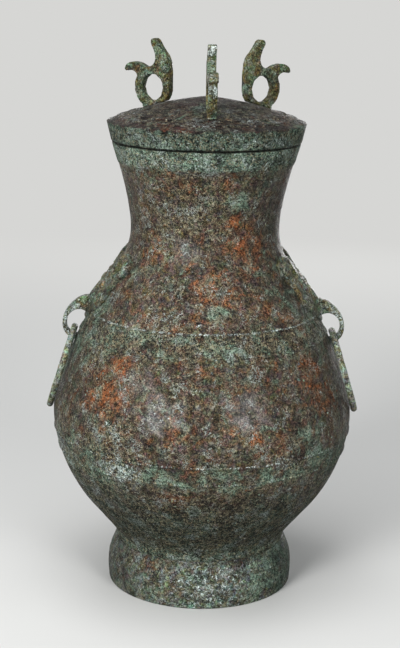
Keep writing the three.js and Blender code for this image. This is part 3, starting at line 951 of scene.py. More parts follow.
@dataclass
class Jar:
    """The belly, shoulder and neck, cast in one. Sizes are in millimetres."""

    around: int = 256
    wall: float = 3.2
    skin: float = 0.25
    underside: tuple[Row, ...] = ((0.0, 28.0), (18.0, 28.0), (36.0, 28.0), (52.0, 28.8), (58.2, 30.6),
                                  (63.4, 32.6), (66.8, 35.4))
    floor: tuple[Row, ...] = ((62.0, 36.6), (52.0, 32.8), (34.0, 31.6), (16.0, 31.6), (0.0, 31.6))
    foot_joint: float = 37.4
    wall_rows: int = 176
    lining_rows: int = 56
    ridge_heights: tuple[float, ...] = (116.9, 131.4, 209.6, 226.1)
    ridge_half: float = 1.3
    ridge_rise: float = 1.05
    ridge_clearance: float = 0.4
    ridge_rows: tuple[float, ...] = (-1.15, -0.75, -0.4, 0, 0.4, 0.75, 1.15)
    ridge_loss: float = 0.45
    band_height: float = 343.6
    band_rise: float = 0.7
    band_rows: tuple[float, float, int] = (346, 358.2, 8)
    mouth_height: float = 359.7
    mouth_radius: float = 73.4
    mouth_rim: float = 4.2
    inside_wear: float = 0.5
    finish: Patina = Patina("jar_patina", spots=tuple(JAR_SPOTS.items()))

    def ridge(self, height: float) -> float:
        """Returns how far the string ridges stand off the wall at a height."""
        return rounded_bead(height, self.ridge_heights, self.ridge_half, self.ridge_rise)

    def outside(self) -> list[Row]:
        """Builds the profile of the wall's outside, from the foot joint to the mouth band.

        Returns:
            The profile, with more rows across each ridge.
        """
        heights = levels(self.foot_joint + 0.6, self.band_height - 0.3, self.wall_rows)
        for centre in self.ridge_heights:
            clear = self.ridge_half + self.ridge_clearance
            heights = [height for height in heights if abs(height - centre) > clear]
            heights += [centre + offset * self.ridge_half for offset in self.ridge_rows]
        return [off_wall(height, self.ridge(height) - self.skin) for height in sorted(heights)]

    def mouth(self) -> list[Row]:
        """Builds the profile of the band under the mouth.

        Returns:
            The profile, without the rim over it.
        """
        foot = wall_radius(self.band_height) + self.band_rise - self.skin
        band = [(foot - 0.2, self.band_height + 0.2), (foot + 0.15, self.band_height + 1.0)]
        for height in levels(*self.band_rows):
            band.append((wall_radius(height) + self.band_rise - self.skin, height))
        return band

    def rows(self) -> tuple[list[Row], int]:
        """Builds the whole profile.

        Returns:
            The profile, and the last row of its outside.
        """
        head = self.mouth_radius + self.band_rise - self.skin
        rim = [(head - 0.35, self.mouth_height - 0.6), (head - 1.0, self.mouth_height - 0.1),
               (head - self.mouth_rim, self.mouth_height - 0.1)]
        lining = [off_wall(height, -self.wall)
                  for height in levels(self.band_height + 4, self.foot_joint + 6, self.lining_rows)]
        outside = [*self.underside, *self.outside(), *self.mouth()]
        return [*outside, *rim, *lining, *self.floor], len(outside)

    def build(self) -> bpy.types.Object:
        """Builds and dresses the jar's shell.

        Returns:
            The piece.
        """
        rows, last = self.rows()

        def worn(point: Vector, index: int) -> Vector:
            """Moves a point by the casting's wear.

            Args:
                point: the ideal point, in millimetres.
                index: its row.

            Returns:
                The moved point.
            """
            if not 1 <= index <= last:
                return point + outward(point, rows, index) * self.inside_wear * wear(point)
            push = wear(point)
            if self.ridge(point.z) > 0.1:
                push -= self.ridge_loss * clamp(0.5 + noise.noise(point / 11)) * self.ridge(point.z)
            return point + outward(point, rows, index) * push

        made = turned("jar_shell", rows, self.around, worn)
        made.data.materials.append(self.finish.material())
        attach(made, "jar")
        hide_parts("jar_body")
        return made


FOOT_SPOTS: dict[Mineral, Spots] = {
    Mineral.CHALK: (Patch(4, 20, 44, 0.7, 0.6, 75),),
    Mineral.RUST: (Patch(-30, 33, 16, 0.9, 0.5, 72),),
    Mineral.GREEN: (Patch(60, 20, 40, 0.9, 1, 75),),
    # Painted shade: the foot's two sides and its top under the belly are darkened.
    Mineral.DARK: (Patch(76, 20, 56, 0.8, 1, 75), Patch(-72, 18, 52, 0.8, 1, 75), Belt(37, 5, 0.5)),
}


@dataclass
class Foot:
    """The ring foot, cast on under the floor. Sizes are in millimetres."""

    around: int = 224
    stations: tuple[Row, ...] = ((75.0, 0.0), (75.6, 12.0), (74.8, 22.0), (71.8, 30.5), (68.9, 37.0))
    station_steps: int = 30
    bearing: tuple[Row, ...] = ((74.0, 0.02), (74.6, 0.3))
    inside: tuple[Row, ...] = ((62.0, 36.4), (56.0, 35.6), (55.4, 31.0), (57.4, 25.2), (65.0, 22.6),
                               (68.4, 18.0), (70.0, 12.0), (69.6, 5.0), (69.2, 0.5), (69.8, 0.02))
    skin: float = 0.2
    worn_above: float = 1.0
    roughness: float = 1.1
    finish: Patina = Patina("foot_patina", film=srgb(56, 58, 50), film_warm=srgb(98, 94, 80),
                            film_cool=srgb(106, 122, 112), rust=0.1, green=0.6, chalk=0.4, cool=0.9,
                            salt=0.6, seed=40, spots=tuple(FOOT_SPOTS.items()))

    def build(self) -> bpy.types.Object:
        """Builds and dresses the foot.

        Returns:
            The piece.
        """
        outside = [(radius - self.skin, height)
                   for radius, height in spline(self.stations, self.station_steps)]
        rows = [*self.bearing, *outside[1:], *self.inside]

        def worn(point: Vector, index: int) -> Vector:
            """Moves a point of the foot's sides by the casting's wear, and leaves its bearing face.

            Args:
                point: the ideal point, in millimetres.
                index: its row.

            Returns:
                The moved point.
            """
            if point.z < self.worn_above:
                return point
            return point + outward(point, rows, index) * self.roughness * wear(point)

        made = turned("foot", rows, self.around, worn)
        made.data.materials.append(self.finish.material())
        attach(made, "jar")
        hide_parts("foot_ring")
        return made


LID_SPOTS: dict[Mineral, Spots] = {
    Mineral.GREEN: (Belt(366, 11, 1.8), Patch(0, 388, 22, 0.5, 1, 40)),
    Mineral.CHALK: (Belt(367, 9, 0.5), Belt(379, 1.2, 0.5), Belt(382, 1.0, 0.4)),
    # Painted shade: the thin belt at 360.4 paints the shadow in the gap between the band's foot and the
    # mouth; the other two darken the band and the top of the dome.
    Mineral.DARK: (Belt(360.4, 1.6, 1.5), Belt(392, 14, 0.6), Belt(368, 12, 0.45)),
    Mineral.FLECKS: (Belt(368, 8, 0.8), Belt(384, 8, 0.5)),
}


@dataclass
class Lid:
    """The lid: a flared rim band, a low dome with fine circles, and a flange in the mouth.

    Sizes are in millimetres. The profiles run from the dome's underside, down round the flange and
    up round the band to the dome's top.
    """

    around: int = 240
    edge_radius: float = 78.0
    edge_height: float = 375.4
    peak_height: float = 395.0
    dome_bend: float = 0.58
    plate: float = 3.0
    under_radii: tuple[float, ...] = (0, 12, 24, 36, 48, 60, 68, 73.6)
    flange: tuple[Row, ...] = ((71.4, 363.6), (66.6, 363.5), (65.4, 361.8), (62.6, 346.0), (62.9, 344.2),
                               (64.0, 343.8), (65.6, 344.6), (67.6, 352.0), (69.0, 359.2))
    seat: tuple[Row, ...] = ((69.4, 360.3), (73.4, 360.2), (74.2, 360.9))
    band_foot: Row = (74.4, 361.2)
    band_head: Row = (77.5, 374.4)
    band_rows: int = 9
    edge: tuple[Row, ...] = ((77.75, 374.9), (77.3, 375.35))
    top_radii: tuple[float, float, int] = (2, 76.4, 62)
    skin: float = 0.2
    circle_radii: tuple[float, ...] = (61.5, 69.5)
    circle_half: float = 1.2
    circle_rise: float = 0.75
    circle_rows: tuple[float, ...] = (-1, -0.6, -0.3, 0, 0.3, 0.6, 1)
    roughness: float = 0.8
    seat_height: float = 361.5
    seat_roughness: float = 0.2
    finish: Patina = Patina("lid_patina", film=srgb(16, 12, 12), film_warm=srgb(58, 32, 28),
                            film_cool=srgb(32, 34, 30), rust=0.2, green=0.1, chalk=0.0, cool=0.6,
                            salt=0.3, seed=80, hoops=0.9, hoops_above=374.5,
                            spots=tuple(LID_SPOTS.items()))

    def dome(self, radius: float) -> float:
        """Finds the dome's height.

        Args:
            radius: how far from the axis.

        Returns:
            The height there.
        """
        share = radius / self.edge_radius
        drop = self.peak_height - self.edge_height
        return self.peak_height - drop * ((1 - self.dome_bend) * share + self.dome_bend * share * share)

    def circle(self, radius: float) -> float:
        """Returns how far the dome's circles stand up at a radius."""
        return rounded_bead(radius, self.circle_radii, self.circle_half, self.circle_rise)

    def rows(self) -> list[Row]:
        """Builds the lid's profile, from the dome's underside round to its top.

        Returns:
            The profile.
        """
        under = [(radius, self.dome(radius) - self.plate) for radius in self.under_radii]
        (foot_radius, foot_height), (head_radius, head_height) = self.band_foot, self.band_head
        band = [(foot_radius + (head_radius - foot_radius) * share,
                 foot_height + (head_height - foot_height) * share)
                for share in levels(0, 1, self.band_rows)]
        across_circles = {centre + offset * self.circle_half
                          for centre in self.circle_radii for offset in self.circle_rows}
        radii = sorted({*levels(*self.top_radii)} | across_circles, reverse=True)
        top = [(radius, self.dome(radius) + self.circle(radius) - self.skin) for radius in radii]
        peak = (0.0, self.peak_height - self.skin)
        return [*under, *self.flange, *self.seat, *band, *self.edge, *top, peak]

    def build(self) -> bpy.types.Object:
        """Builds and dresses the lid.

        Returns:
            The piece.
        """
        rows = self.rows()

        def worn(point: Vector, index: int) -> Vector:
            """Moves a point of the lid by the casting's wear, less where it seats on the mouth."""
            share = self.seat_roughness if point.z < self.seat_height else 1.0
            return point + outward(point, rows, index) * self.roughness * share * wear(point)

        made = turned("lid_shell", rows, self.around, worn)
        made.data.materials.append(self.finish.material())
        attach(made, "lid")
        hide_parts("lid")
        return made


def copy_of_node(name: str, node: bpy.types.Object) -> bpy.types.Object:
    """Copies a CAD node's mesh into a new piece.

    Args:
        name: the new piece's name.
        node: the CAD node's object.

    Returns:
        The piece, with the loose triangles merged and no material.
    """
    mesh = node.data.copy()
    mesh.name = name
    mesh.materials.clear()
    made = placed(name, mesh)
    merge_points(mesh, DOUBLED_IN_NODE, outwards=False)
    return made


def settle(made: bpy.types.Object, voxel: float, passes: int) -> None:
    """Turns a piece into an even mesh with softened edges.

    Args:
        made: the piece.
        voxel: the mesh's grain, in millimetres.
        passes: how often it is smoothed.
    """
    remesh = made.modifiers.new("even", "REMESH")
    remesh.mode = "VOXEL"
    remesh.voxel_size = voxel * MM
    soften = made.modifiers.new("soften", "SMOOTH")
    soften.factor = 0.5
    soften.iterations = passes
    evaluated = made.evaluated_get(bpy.context.evaluated_depsgraph_get())
    mesh = bpy.data.meshes.new_from_object(evaluated)
    old = made.data
    made.modifiers.clear()
    made.data = mesh
    mesh.name = old.name
    bpy.data.meshes.remove(old)
    mesh.shade_smooth()


SMALL_PART_GRAIN = 1.6
SMALL_PART_SHRINK = 0.1


def roughen(made: bpy.types.Object, strength: float) -> None:
    """Moves a small piece's points along their normals by the casting's wear.

    Args:
        made: the piece.
        strength: how rough it gets.
    """
    moved = []
    for vertex in made.data.vertices:
        push = wear(vertex.co / MM * SMALL_PART_GRAIN, strength) - SMALL_PART_SHRINK
        moved.extend(vertex.co + vertex.normal * push * MM)
    made.data.vertices.foreach_set("co", moved)
    made.data.update()


def recast(nodes: dict[str, bpy.types.Object], node: str, voxel: float) -> bpy.types.Object:
    """Makes a worn casting from a small CAD node.

    Args:
        nodes: the CAD nodes' objects, by name.
        node: the node's name.
        voxel: the mesh's grain, in millimetres.

    Returns:
        The piece, named after the node.
    """
    made = copy_of_node(node + "_cast", nodes[node])
    settle(made, voxel, passes=4)
    roughen(made, strength=1.0)
    return made


INNER_PATINA = Patina("inner_patina", film=srgb(52, 46, 38), film_warm=srgb(78, 62, 46),
                      film_cool=srgb(66, 76, 66), green=0.4, chalk=0.3, cool=0.5, seed=160)


@dataclass
class Knobs:
    """The three flat ring knobs on the lid and the rivet heads that hold them."""

    spots: tuple[str, ...] = ("front", "right", "left")
    knob_voxel: float = 0.6
    rivet_voxel: float = 0.7
    finish: Patina = Patina("knob_patina", film=srgb(50, 54, 38), film_warm=srgb(100, 90, 52),
                            film_cool=srgb(84, 104, 84), rust=0.5, green=0.8, chalk=0.4, cool=0.9,
                            salt=0.6, seed=120, spots=((Mineral.CHALK, (Patch(3.5, 433, 7, 1.6, 1, 50),
                                                                        Patch(3.5, 404, 6, 1.6, 1, 66))),))
    inner_finish: Patina = INNER_PATINA

    def build(self, nodes: dict[str, bpy.types.Object]) -> list[bpy.types.Object]:
        """Builds and dresses the knobs and their rivet heads.

        Args:
            nodes: the CAD nodes' objects, by name.

        Returns:
            The pieces.
        """
        made = []
        material = self.finish.material()
        inner = self.inner_finish.material()
        for spot in self.spots:
            for node, slot, dress, voxel in (
                    (f"lid_knob_{spot}", "knob_bronze", material, self.knob_voxel),
                    (f"lid_knob_rivet_{spot}", "inner_bronze", inner, self.rivet_voxel)):
                part = recast(nodes, node, voxel)
                part.data.materials.append(dress)
                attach(part, "lid")
                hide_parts(node)
                made.append(part)
        return made


@dataclass(frozen=True)
class Scroll:
    """A curl in the mask's relief, in millimetres: a coil that tightens round a boss."""

    across: float
    up: float
    radius: float
    tightening: float
    coil_rise: float
    coil_width: float
    boss_rise: float
    boss_width: float

    def seen_from_centre(self, side: float, up: float) -> Row:
        """Returns a place's distance and direction from the scroll's centre."""
        return math.hypot(side - self.across, up - self.up), math.atan2(up - self.up, side - self.across)

    def rise(self, side: float, up: float) -> float:
        """Finds how far the scroll stands up at a place.

        Args:
            side, up: the place.

        Returns:
            The height.
        """
        reach, turn = self.seen_from_centre(side, up)
        coil = reach - (self.radius - self.tightening * (turn + math.pi) / math.pi)
        return self.coil_rise * hump(coil, self.coil_width) + self.boss_rise * hump(reach, self.boss_width)


@dataclass(frozen=True)
class Fold:
    """A fold in the mask's relief, in millimetres.

    It stands up where the distance across it is near at, and fades along it from middle over spread.
    """

    rise: float
    at: float
    width: float
    middle: float
    spread: float

    def height(self, across: float, along: float) -> float:
        """Returns how far the fold stands up, given the places across and along it."""
        return self.rise * hump(across - self.at, self.width) * hump(along - self.middle, self.spread)


@dataclass(frozen=True)
class Face:
    """The animal's face on a mask: horns, brows, eyes, cheeks, whiskers and a long nose.

    Places are in millimetres, to the side of the middle and up from the mask's centre, and the two
    halves are mirror images. A span holds the heights between which a form fades in or out.
    """

    ground: float = 0.6
    ground_at_brow: float = 0.4
    strength: float = 0.95
    horn: Scroll = Scroll(across=27, up=25, radius=8.4, tightening=1.25, coil_rise=2.3, coil_width=1.7,
                          boss_rise=2.0, boss_width=2.2)
    horn_border: float = 12.2
    horn_border_rise: float = 1.2
    horn_border_width: float = 1.1
    horn_border_turns: Row = (-2.2, -0.4)
    cheek: Scroll = Scroll(across=25, up=-3, radius=5.6, tightening=0.9, coil_rise=1.7, coil_width=1.3,
                           boss_rise=1.3, boss_width=1.4)
    brow_height: float = 17.0
    brow_bend: float = 0.012
    brow: Fold = Fold(rise=1.8, at=0, width=1.7, middle=12, spread=10)
    under_brow: Fold = Fold(rise=0.7, at=-3.6, width=0.9, middle=13, spread=8)
    eye: Row = (13.5, 7.5)
    eye_squash: float = 1.15
    eye_radius: float = 5.4
    eye_rise: float = 3.2
    eyelid_reach: float = 7.6
    eyelid_rise: float = 1.1
    eyelid_width: float = 1.0
    pupil_depth: float = 1.3
    pupil_width: float = 1.1
    whisker_slant: float = 0.2
    whisker: Fold = Fold(rise=0.8, at=-11, width=0.9, middle=17, spread=7)
    chin_span: Row = (-17, -6)
    nose_top: float = 20.0
    nose_width: float = 4.4
    nose_widening: float = 0.05
    nose_rise: float = 4.2
    nose_span: Row = (-12, 28)
    crest: Fold = Fold(rise=0.5, at=0, width=1.0, middle=22, spread=7)
    crest_span: Row = (6, 14)
    rim: float = 2.2
    rim_rise: float = 0.6
    rim_width: float = 0.9

    def horns(self, side: float, up: float) -> float:
        """Finds how far the horn and its border stand up.

        Args:
            side, up: the place.

        Returns:
            The height.
        """
        reach, turn = self.horn.seen_from_centre(side, up)
        border = self.horn_border_rise * hump(reach - self.horn_border, self.horn_border_width)
        return self.horn.rise(side, up) + border * smooth(turn, *self.horn_border_turns)

    def eyes(self, side: float, up: float) -> float:
        """Finds how far the eye stands up: a ball with a pupil, and a lid round it.

        Args:
            side, up: the place.

        Returns:
            The height.
        """
        reach = math.hypot(side - self.eye[0], (up - self.eye[1]) * self.eye_squash)
        ball = self.eye_rise * math.sqrt(max(0.0, 1 - (reach / self.eye_radius) ** 2))
        lid = self.eyelid_rise * hump(reach - self.eyelid_reach, self.eyelid_width)
        return ball + lid - self.pupil_depth * hump(reach, self.pupil_width)

    def nose(self, side: float, up: float) -> float:
        """Finds how far the nose and the crest over it stand up.

        Args:
            side, up: the place.

        Returns:
            The height.
        """
        width = self.nose_width + self.nose_widening * (self.nose_top - up)
        bridge = self.nose_rise * hump(side, width) * (1 - smooth(up, *self.nose_span))
        return bridge + self.crest.height(side, up) * smooth(up, *self.crest_span)

    def relief(self, side: float, up: float, edge: float, inside: float) -> float:
        """Finds how far the face stands off the wall.

        Args:
            side, up: the place.
            edge: how thick the mask's plate is.
            inside: how far the place lies inside the mask's outline.

        Returns:
            The height.
        """
        brow_line = up - (self.brow_height + self.brow_bend * (side - self.brow.middle) ** 2)
        brows = self.brow.height(brow_line, side) + self.under_brow.height(brow_line, side)
        whiskers = self.whisker.height(up + self.whisker_slant * side, side)
        chin = smooth(up, *self.chin_span)
        forms = (self.horns(side, up) + brows + self.eyes(side, up) + self.cheek.rise(side, up) + whiskers
                 + chin * self.nose(side, up))
        rim = self.rim_rise * hump(inside - self.rim, self.rim_width)
        return edge * (self.ground + self.ground_at_brow * chin) + self.strength * forms + rim


@dataclass
class Masks:
    """The two animal-mask lugs on the shoulder and the rivet heads inside the wall.

    Sizes are in millimetres. outline is the right half of a mask's edge, seen square to the wall.
    edge is how far the plain plate stands off the wall, and it falls away past edge_share of the way
    out. The depths say how its back is drawn below the wall's outside, at its edge, at back_share of
    the way out and in its middle, and no point of a lug ends up deeper than deepest. strap_bands are
    [distance in from a side, how far it is rounded].
    """

    centre_height: float = 240.0
    outline: tuple[Row, ...] = ((0, 31), (12, 37), (26, 39), (37, 32), (38.5, 21), (33, 11), (35, 1),
                                (30, -9), (19, -17), (10, -23), (0, -25.5))
    face: Face = Face()
    edge: float = 2.3
    edge_fall: float = 0.9
    edge_share: float = 0.965
    edge_depth: float = -1.2
    back_share: float = 0.5
    back_depth: float = -1.4
    middle_depth: float = -1.5
    deepest: float = 1.6
    strap_width: float = 8.6
    strap_bands: tuple[Row, ...] = ((0.0, 0.55), (0.4, 0.15), (1.2, 0.0))
    round_steps: int = 200
    radial_steps: int = 56
    lug_voxel: float = 0.5
    rivet_voxel: float = 0.7
    roughness: float = 0.7
    painted_recess_shade_strength: float = 0.75
    painted_recess_shade_span: Row = (2.0, 3.5)
    finish: Patina = Patina("mask_patina", film=srgb(70, 70, 56), film_warm=srgb(116, 106, 76),
                            film_cool=srgb(110, 130, 114), rust=0.3, green=0.2, chalk=0.8, cool=0.9,
                            # The recess attribute darkens the mask's low places with painted shade.
                            salt=0.8, painted_recess_shade="painted_recess_shade", seed=200,
                            # Painted light: these two chalk patches at the masks' lower outer edges paint a
                            # pale strip of rim light along the shoulder's outline.
                            spots=((Mineral.CHALK, (Patch(90, 218, 16, 1.0, 1, 106),
                                                    Patch(-90, 218, 16, 1.2, 1, 106))),))
    inner_finish: Patina = replace(INNER_PATINA, name="rivet_patina", seed=240)

    def on_shoulder(self, across: float, up: float, distance: float) -> Vector:
        """Finds a point over the right shoulder.

        Args:
            across, up: its place on the mask.
            distance: how far it stands off the wall.

        Returns:
            The point.
        """
        rise = math.cos(math.atan(wall_slope(self.centre_height)))
        height = self.centre_height + up * rise
        radius, z = off_wall(height, distance)
        turn = across / wall_radius(height)
        return Vector((radius * math.cos(turn), radius * math.sin(turn), z))

    def relief(self, across: float, up: float) -> float:
        """Returns how far the mask's face stands off the wall."""
        return self.face.relief(abs(across), up, self.edge, self.rim_distance(across, up))

    def rim_distance(self, across: float, up: float) -> float:
        """Finds how far a place lies inside the mask's outline.

        Args:
            across, up: the place.

        Returns:
            Roughly that distance, along the line to the mask's centre.
        """
        turn = math.atan2(up, abs(across))
        reach = math.hypot(across, up)
        for (u0, v0), (u1, v1) in zip(self.outline, self.outline[1:]):
            high, low = math.atan2(v0, u0), math.atan2(v1, u1)
            if low <= turn <= high:
                share = (high - turn) / (high - low)
                return math.hypot(u0 + (u1 - u0) * share, v0 + (v1 - v0) * share) - reach
        return 0.0

    def plate(self) -> Mesh:
        """Builds the closed relief plate: its face, its edge and a back inside the wall.

        Returns:
            Its points and faces.
        """
        half = list(self.outline)
        mirrored = [(-across, up) for across, up in reversed(half[1:-1])]
        edge = spline([*half, *mirrored, half[0]], self.round_steps)[:-1]
        count = len(edge)
        vertices = [self.on_shoulder(0, 0, self.relief(0, 0))]
        for share in levels(0, 1, self.radial_steps)[1:]:
            fall = self.edge_fall * smooth(share, self.edge_share, 1.0)
            vertices += [self.on_shoulder(u * share, v * share, self.relief(u * share, v * share) - fall)
                         for u, v in edge]
        for share, depth in ((1.0, self.edge_depth), (self.back_share, self.back_depth)):
            vertices += [self.on_shoulder(u * share, v * share, depth) for u, v in edge]
        vertices.append(self.on_shoulder(0, 0, self.middle_depth))
        faces: list[tuple[int, ...]] = []
        for step in range(count):
            following = (step + 1) % count
            faces.append((0, 1 + step, 1 + following))
            for ring in range(self.radial_steps + 1):
                low, high = 1 + ring * count, 1 + (ring + 1) * count
                faces.append((low + step, high + step, high + following, low + following))
            last = 1 + (self.radial_steps + 1) * count
            faces.append((last + step, len(vertices) - 1, last + following))
        return vertices, faces

    def strap_side(self) -> list[Row]:
        """Builds the outline of the nose's curl, seen from the side.

        Returns:
            The outline, in [distance from the axis, height].
        """

        def curve(start: Row, handle: Row, end: Row, count: int = 9) -> list[Row]:
            """Returns a quadratic curve's points after its start, in equal steps."""
            return [tuple((1 - t) ** 2 * a + 2 * t * (1 - t) * b + t * t * c
                          for a, b, c in zip(start, handle, end)) for t in levels(0, 1, count)[1:]]

        return [
            (82, 237), (88, 235.8),
            *curve((88, 235.8), (97, 236.7), (103, 231.3)),
            *curve((103, 231.3), (112.8, 223.4), (112.9, 213)),
            *curve((112.9, 213), (112.7, 205.1), (107.5, 202)),
            (98, 197), (95.4, 202.6),
            *curve((104.5, 204.9), (109.2, 206.9), (109.5, 213)),
            *curve((109.5, 213), (109.4, 219.4), (104.3, 222.8)),
            *curve((104.3, 222.8), (99.6, 225.9), (94.4, 222.8)),
            (82, 224),
        ]

    def strap(self, first: int) -> Mesh:
        """Builds the nose's curl, rounded across its width.

        Args:
            first: the number of its first point in the joined piece.

        Returns:
            Its points and faces.
        """
        side = self.strap_side()
        count = len(side)
        half = self.strap_width / 2
        bands = [(inset - half, draw_in) for inset, draw_in in self.strap_bands]
        bands += [(half - inset, draw_in) for inset, draw_in in reversed(self.strap_bands)]
        vertices: list[Vector] = []
        for offset, draw_in in bands:
            for index, (x, z) in enumerate(side):
                before, after = Vector(side[index - 1]), Vector(side[(index + 1) % count])
                along = (after - before).normalized()
                inward = Vector((along.y, -along.x)) * draw_in
                vertices.append(Vector((x + inward.x, offset, z + inward.y)))
        faces: list[tuple[int, ...]] = []
        for band in range(len(bands) - 1):
            for step in range(count):
                following = (step + 1) % count
                low, high = first + band * count, first + (band + 1) * count
                faces.append((low + step, low + following, high + following, high + step))
        faces.append(tuple(first + step for step in reversed(range(count))))
        last = first + (len(bands) - 1) * count
        faces.append(tuple(last + step for step in range(count)))
        return vertices, faces

    def kept_in_wall(self, made: bpy.types.Object) -> None:
        """Draws the back of a lug out into the wall, so that none of it shows inside the jar.

        Args:
            made: the lug.
        """
        for vertex in made.data.vertices:
            point = vertex.co / MM
            reach = math.hypot(point.x, point.y)
            least = wall_radius(point.z) - self.deepest
            if reach < least:
                vertex.co.x *= least / reach
                vertex.co.y *= least / reach

    def mark_painted_recess_shade(self, made: bpy.types.Object) -> None:
        """Stores how low each point lies among the mask's curls, for the finish to paint shade into its low
        places.

        Args:
            made: the lug.
        """
        marks = made.data.attributes.new(self.finish.painted_recess_shade, "FLOAT", "POINT")
        for vertex, mark in zip(made.data.vertices, marks.data):
            point = vertex.co / MM
            beyond = math.hypot(point.x, point.y) - wall_radius(point.z)
            stand = beyond / math.hypot(1, wall_slope(point.z))
            # Painted shade: points that stand low, near the wall, get a dark mark.
            mark.value = self.painted_recess_shade_strength * (1 - smooth(stand, *self.painted_recess_shade_span))

    def build(self, nodes: dict[str, bpy.types.Object]) -> list[bpy.types.Object]:
        """Builds and dresses the lugs and their rivet heads.

        Args:
            nodes: the CAD nodes' objects, by name.

        Returns:
            The pieces.
        """
        made = []
        material = self.finish.material()
        inner = self.inner_finish.material()
        plate_points, plate_faces = self.plate()
        strap_points, strap_faces = self.strap(len(plate_points))
        for name, sign in (("right", 1), ("left", -1)):
            points = [(sign * point.x, point.y, point.z) for point in plate_points + strap_points]
            lug = piece(f"mask_lug_{name}", points, plate_faces + strap_faces)
            merge_points(lug.data, DOUBLED, outwards=True)
            settle(lug, self.lug_voxel, passes=2)
            roughen(lug, self.roughness)
            self.kept_in_wall(lug)
            self.mark_painted_recess_shade(lug)
            lug.data.materials.append(material)
            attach(lug, "jar")
            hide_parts(f"mask_{name}")
            made.append(lug)
            for level in ("upper", "lower"):
                node = f"mask_rivet_{name}_{level}"
                head = recast(nodes, node, self.rivet_voxel)
                head.data.materials.append(inner)
                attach(head, "jar")
                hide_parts(node)
                made.append(head)
        return made


def start_tree(name: str, inputs: dict[str, str]) -> tuple[Graph, Any]:
    """Starts a Geometry Nodes tree.

    Args:
        name: the tree's name.
        inputs: the kind of each input's socket, by the input's name.

    Returns:
        The tree's graph and the sockets of its inputs.
    """
    tree = bpy.data.node_groups.new(name, "GeometryNodeTree")
    for label, kind in inputs.items():
        tree.interface.new_socket(label, in_out="INPUT", socket_type="NodeSocket" + kind)
    tree.interface.new_socket("Geometry", in_out="OUTPUT", socket_type="NodeSocketGeometry")
    graph = Graph(tree)
    return graph, graph.node("NodeGroupInput").outputs


def end_tree(graph: Graph, geometry: Value, finish: Value) -> bpy.types.NodeTree:
    """Ends a Geometry Nodes tree with smooth shading, real geometry and a material.

    Args:
        graph: the tree's graph.
        geometry: what it has made.
        finish: the material's socket.

    Returns:
        The tree.
    """
    rounded = graph.node("GeometryNodeSetShadeSmooth", {}, {"Geometry": geometry})
    real = graph.node("GeometryNodeRealizeInstances", {}, {"Geometry": rounded.outputs[0]})
    dressed = graph.node("GeometryNodeSetMaterial", {}, {"Geometry": real.outputs[0], "Material": finish})
    graph.node("NodeGroupOutput", {}, {0: dressed.outputs[0]})
    return graph.tree


def pushed_out(graph: Graph, geometry: Value, distance: Value) -> bpy.types.NodeSocket:
    """Returns a geometry whose points have moved along their normals by a distance in metres."""
    offset = graph.vector("SCALE", graph.node("GeometryNodeInputNormal").outputs[0], scale=distance)
    return graph.node("GeometryNodeSetPosition", {}, {"Geometry": geometry, "Offset": offset}).outputs[0]


def grown(name: str, tree: bpy.types.NodeTree, values: dict[str, Any],
          base: bpy.types.Mesh | None = None) -> bpy.types.Object:
    """Runs a Geometry Nodes tree and keeps its result as a plain mesh.

    Args:
        name: the new piece's name.
        tree: the tree.
        values: its inputs, by name.
        base: the mesh that it starts from, if any.

    Returns:
        The new piece.
    """
    seed = placed(name + "_seed", base or bpy.data.meshes.new(name + "_seed"))
    modifier = seed.modifiers.new("grow", "NODES")
    modifier.node_group = tree
    identifiers = {item.name: item.identifier for item in tree.interface.items_tree
                   if item.item_type == "SOCKET" and item.in_out == "INPUT"}
    for key, value in values.items():
        modifier[identifiers[key]] = value
    evaluated = seed.evaluated_get(bpy.context.evaluated_depsgraph_get())
    mesh = bpy.data.meshes.new_from_object(evaluated)
    mesh.name = name
    seed.modifiers.clear()
    bpy.data.objects.remove(seed)
    return placed(name, mesh)


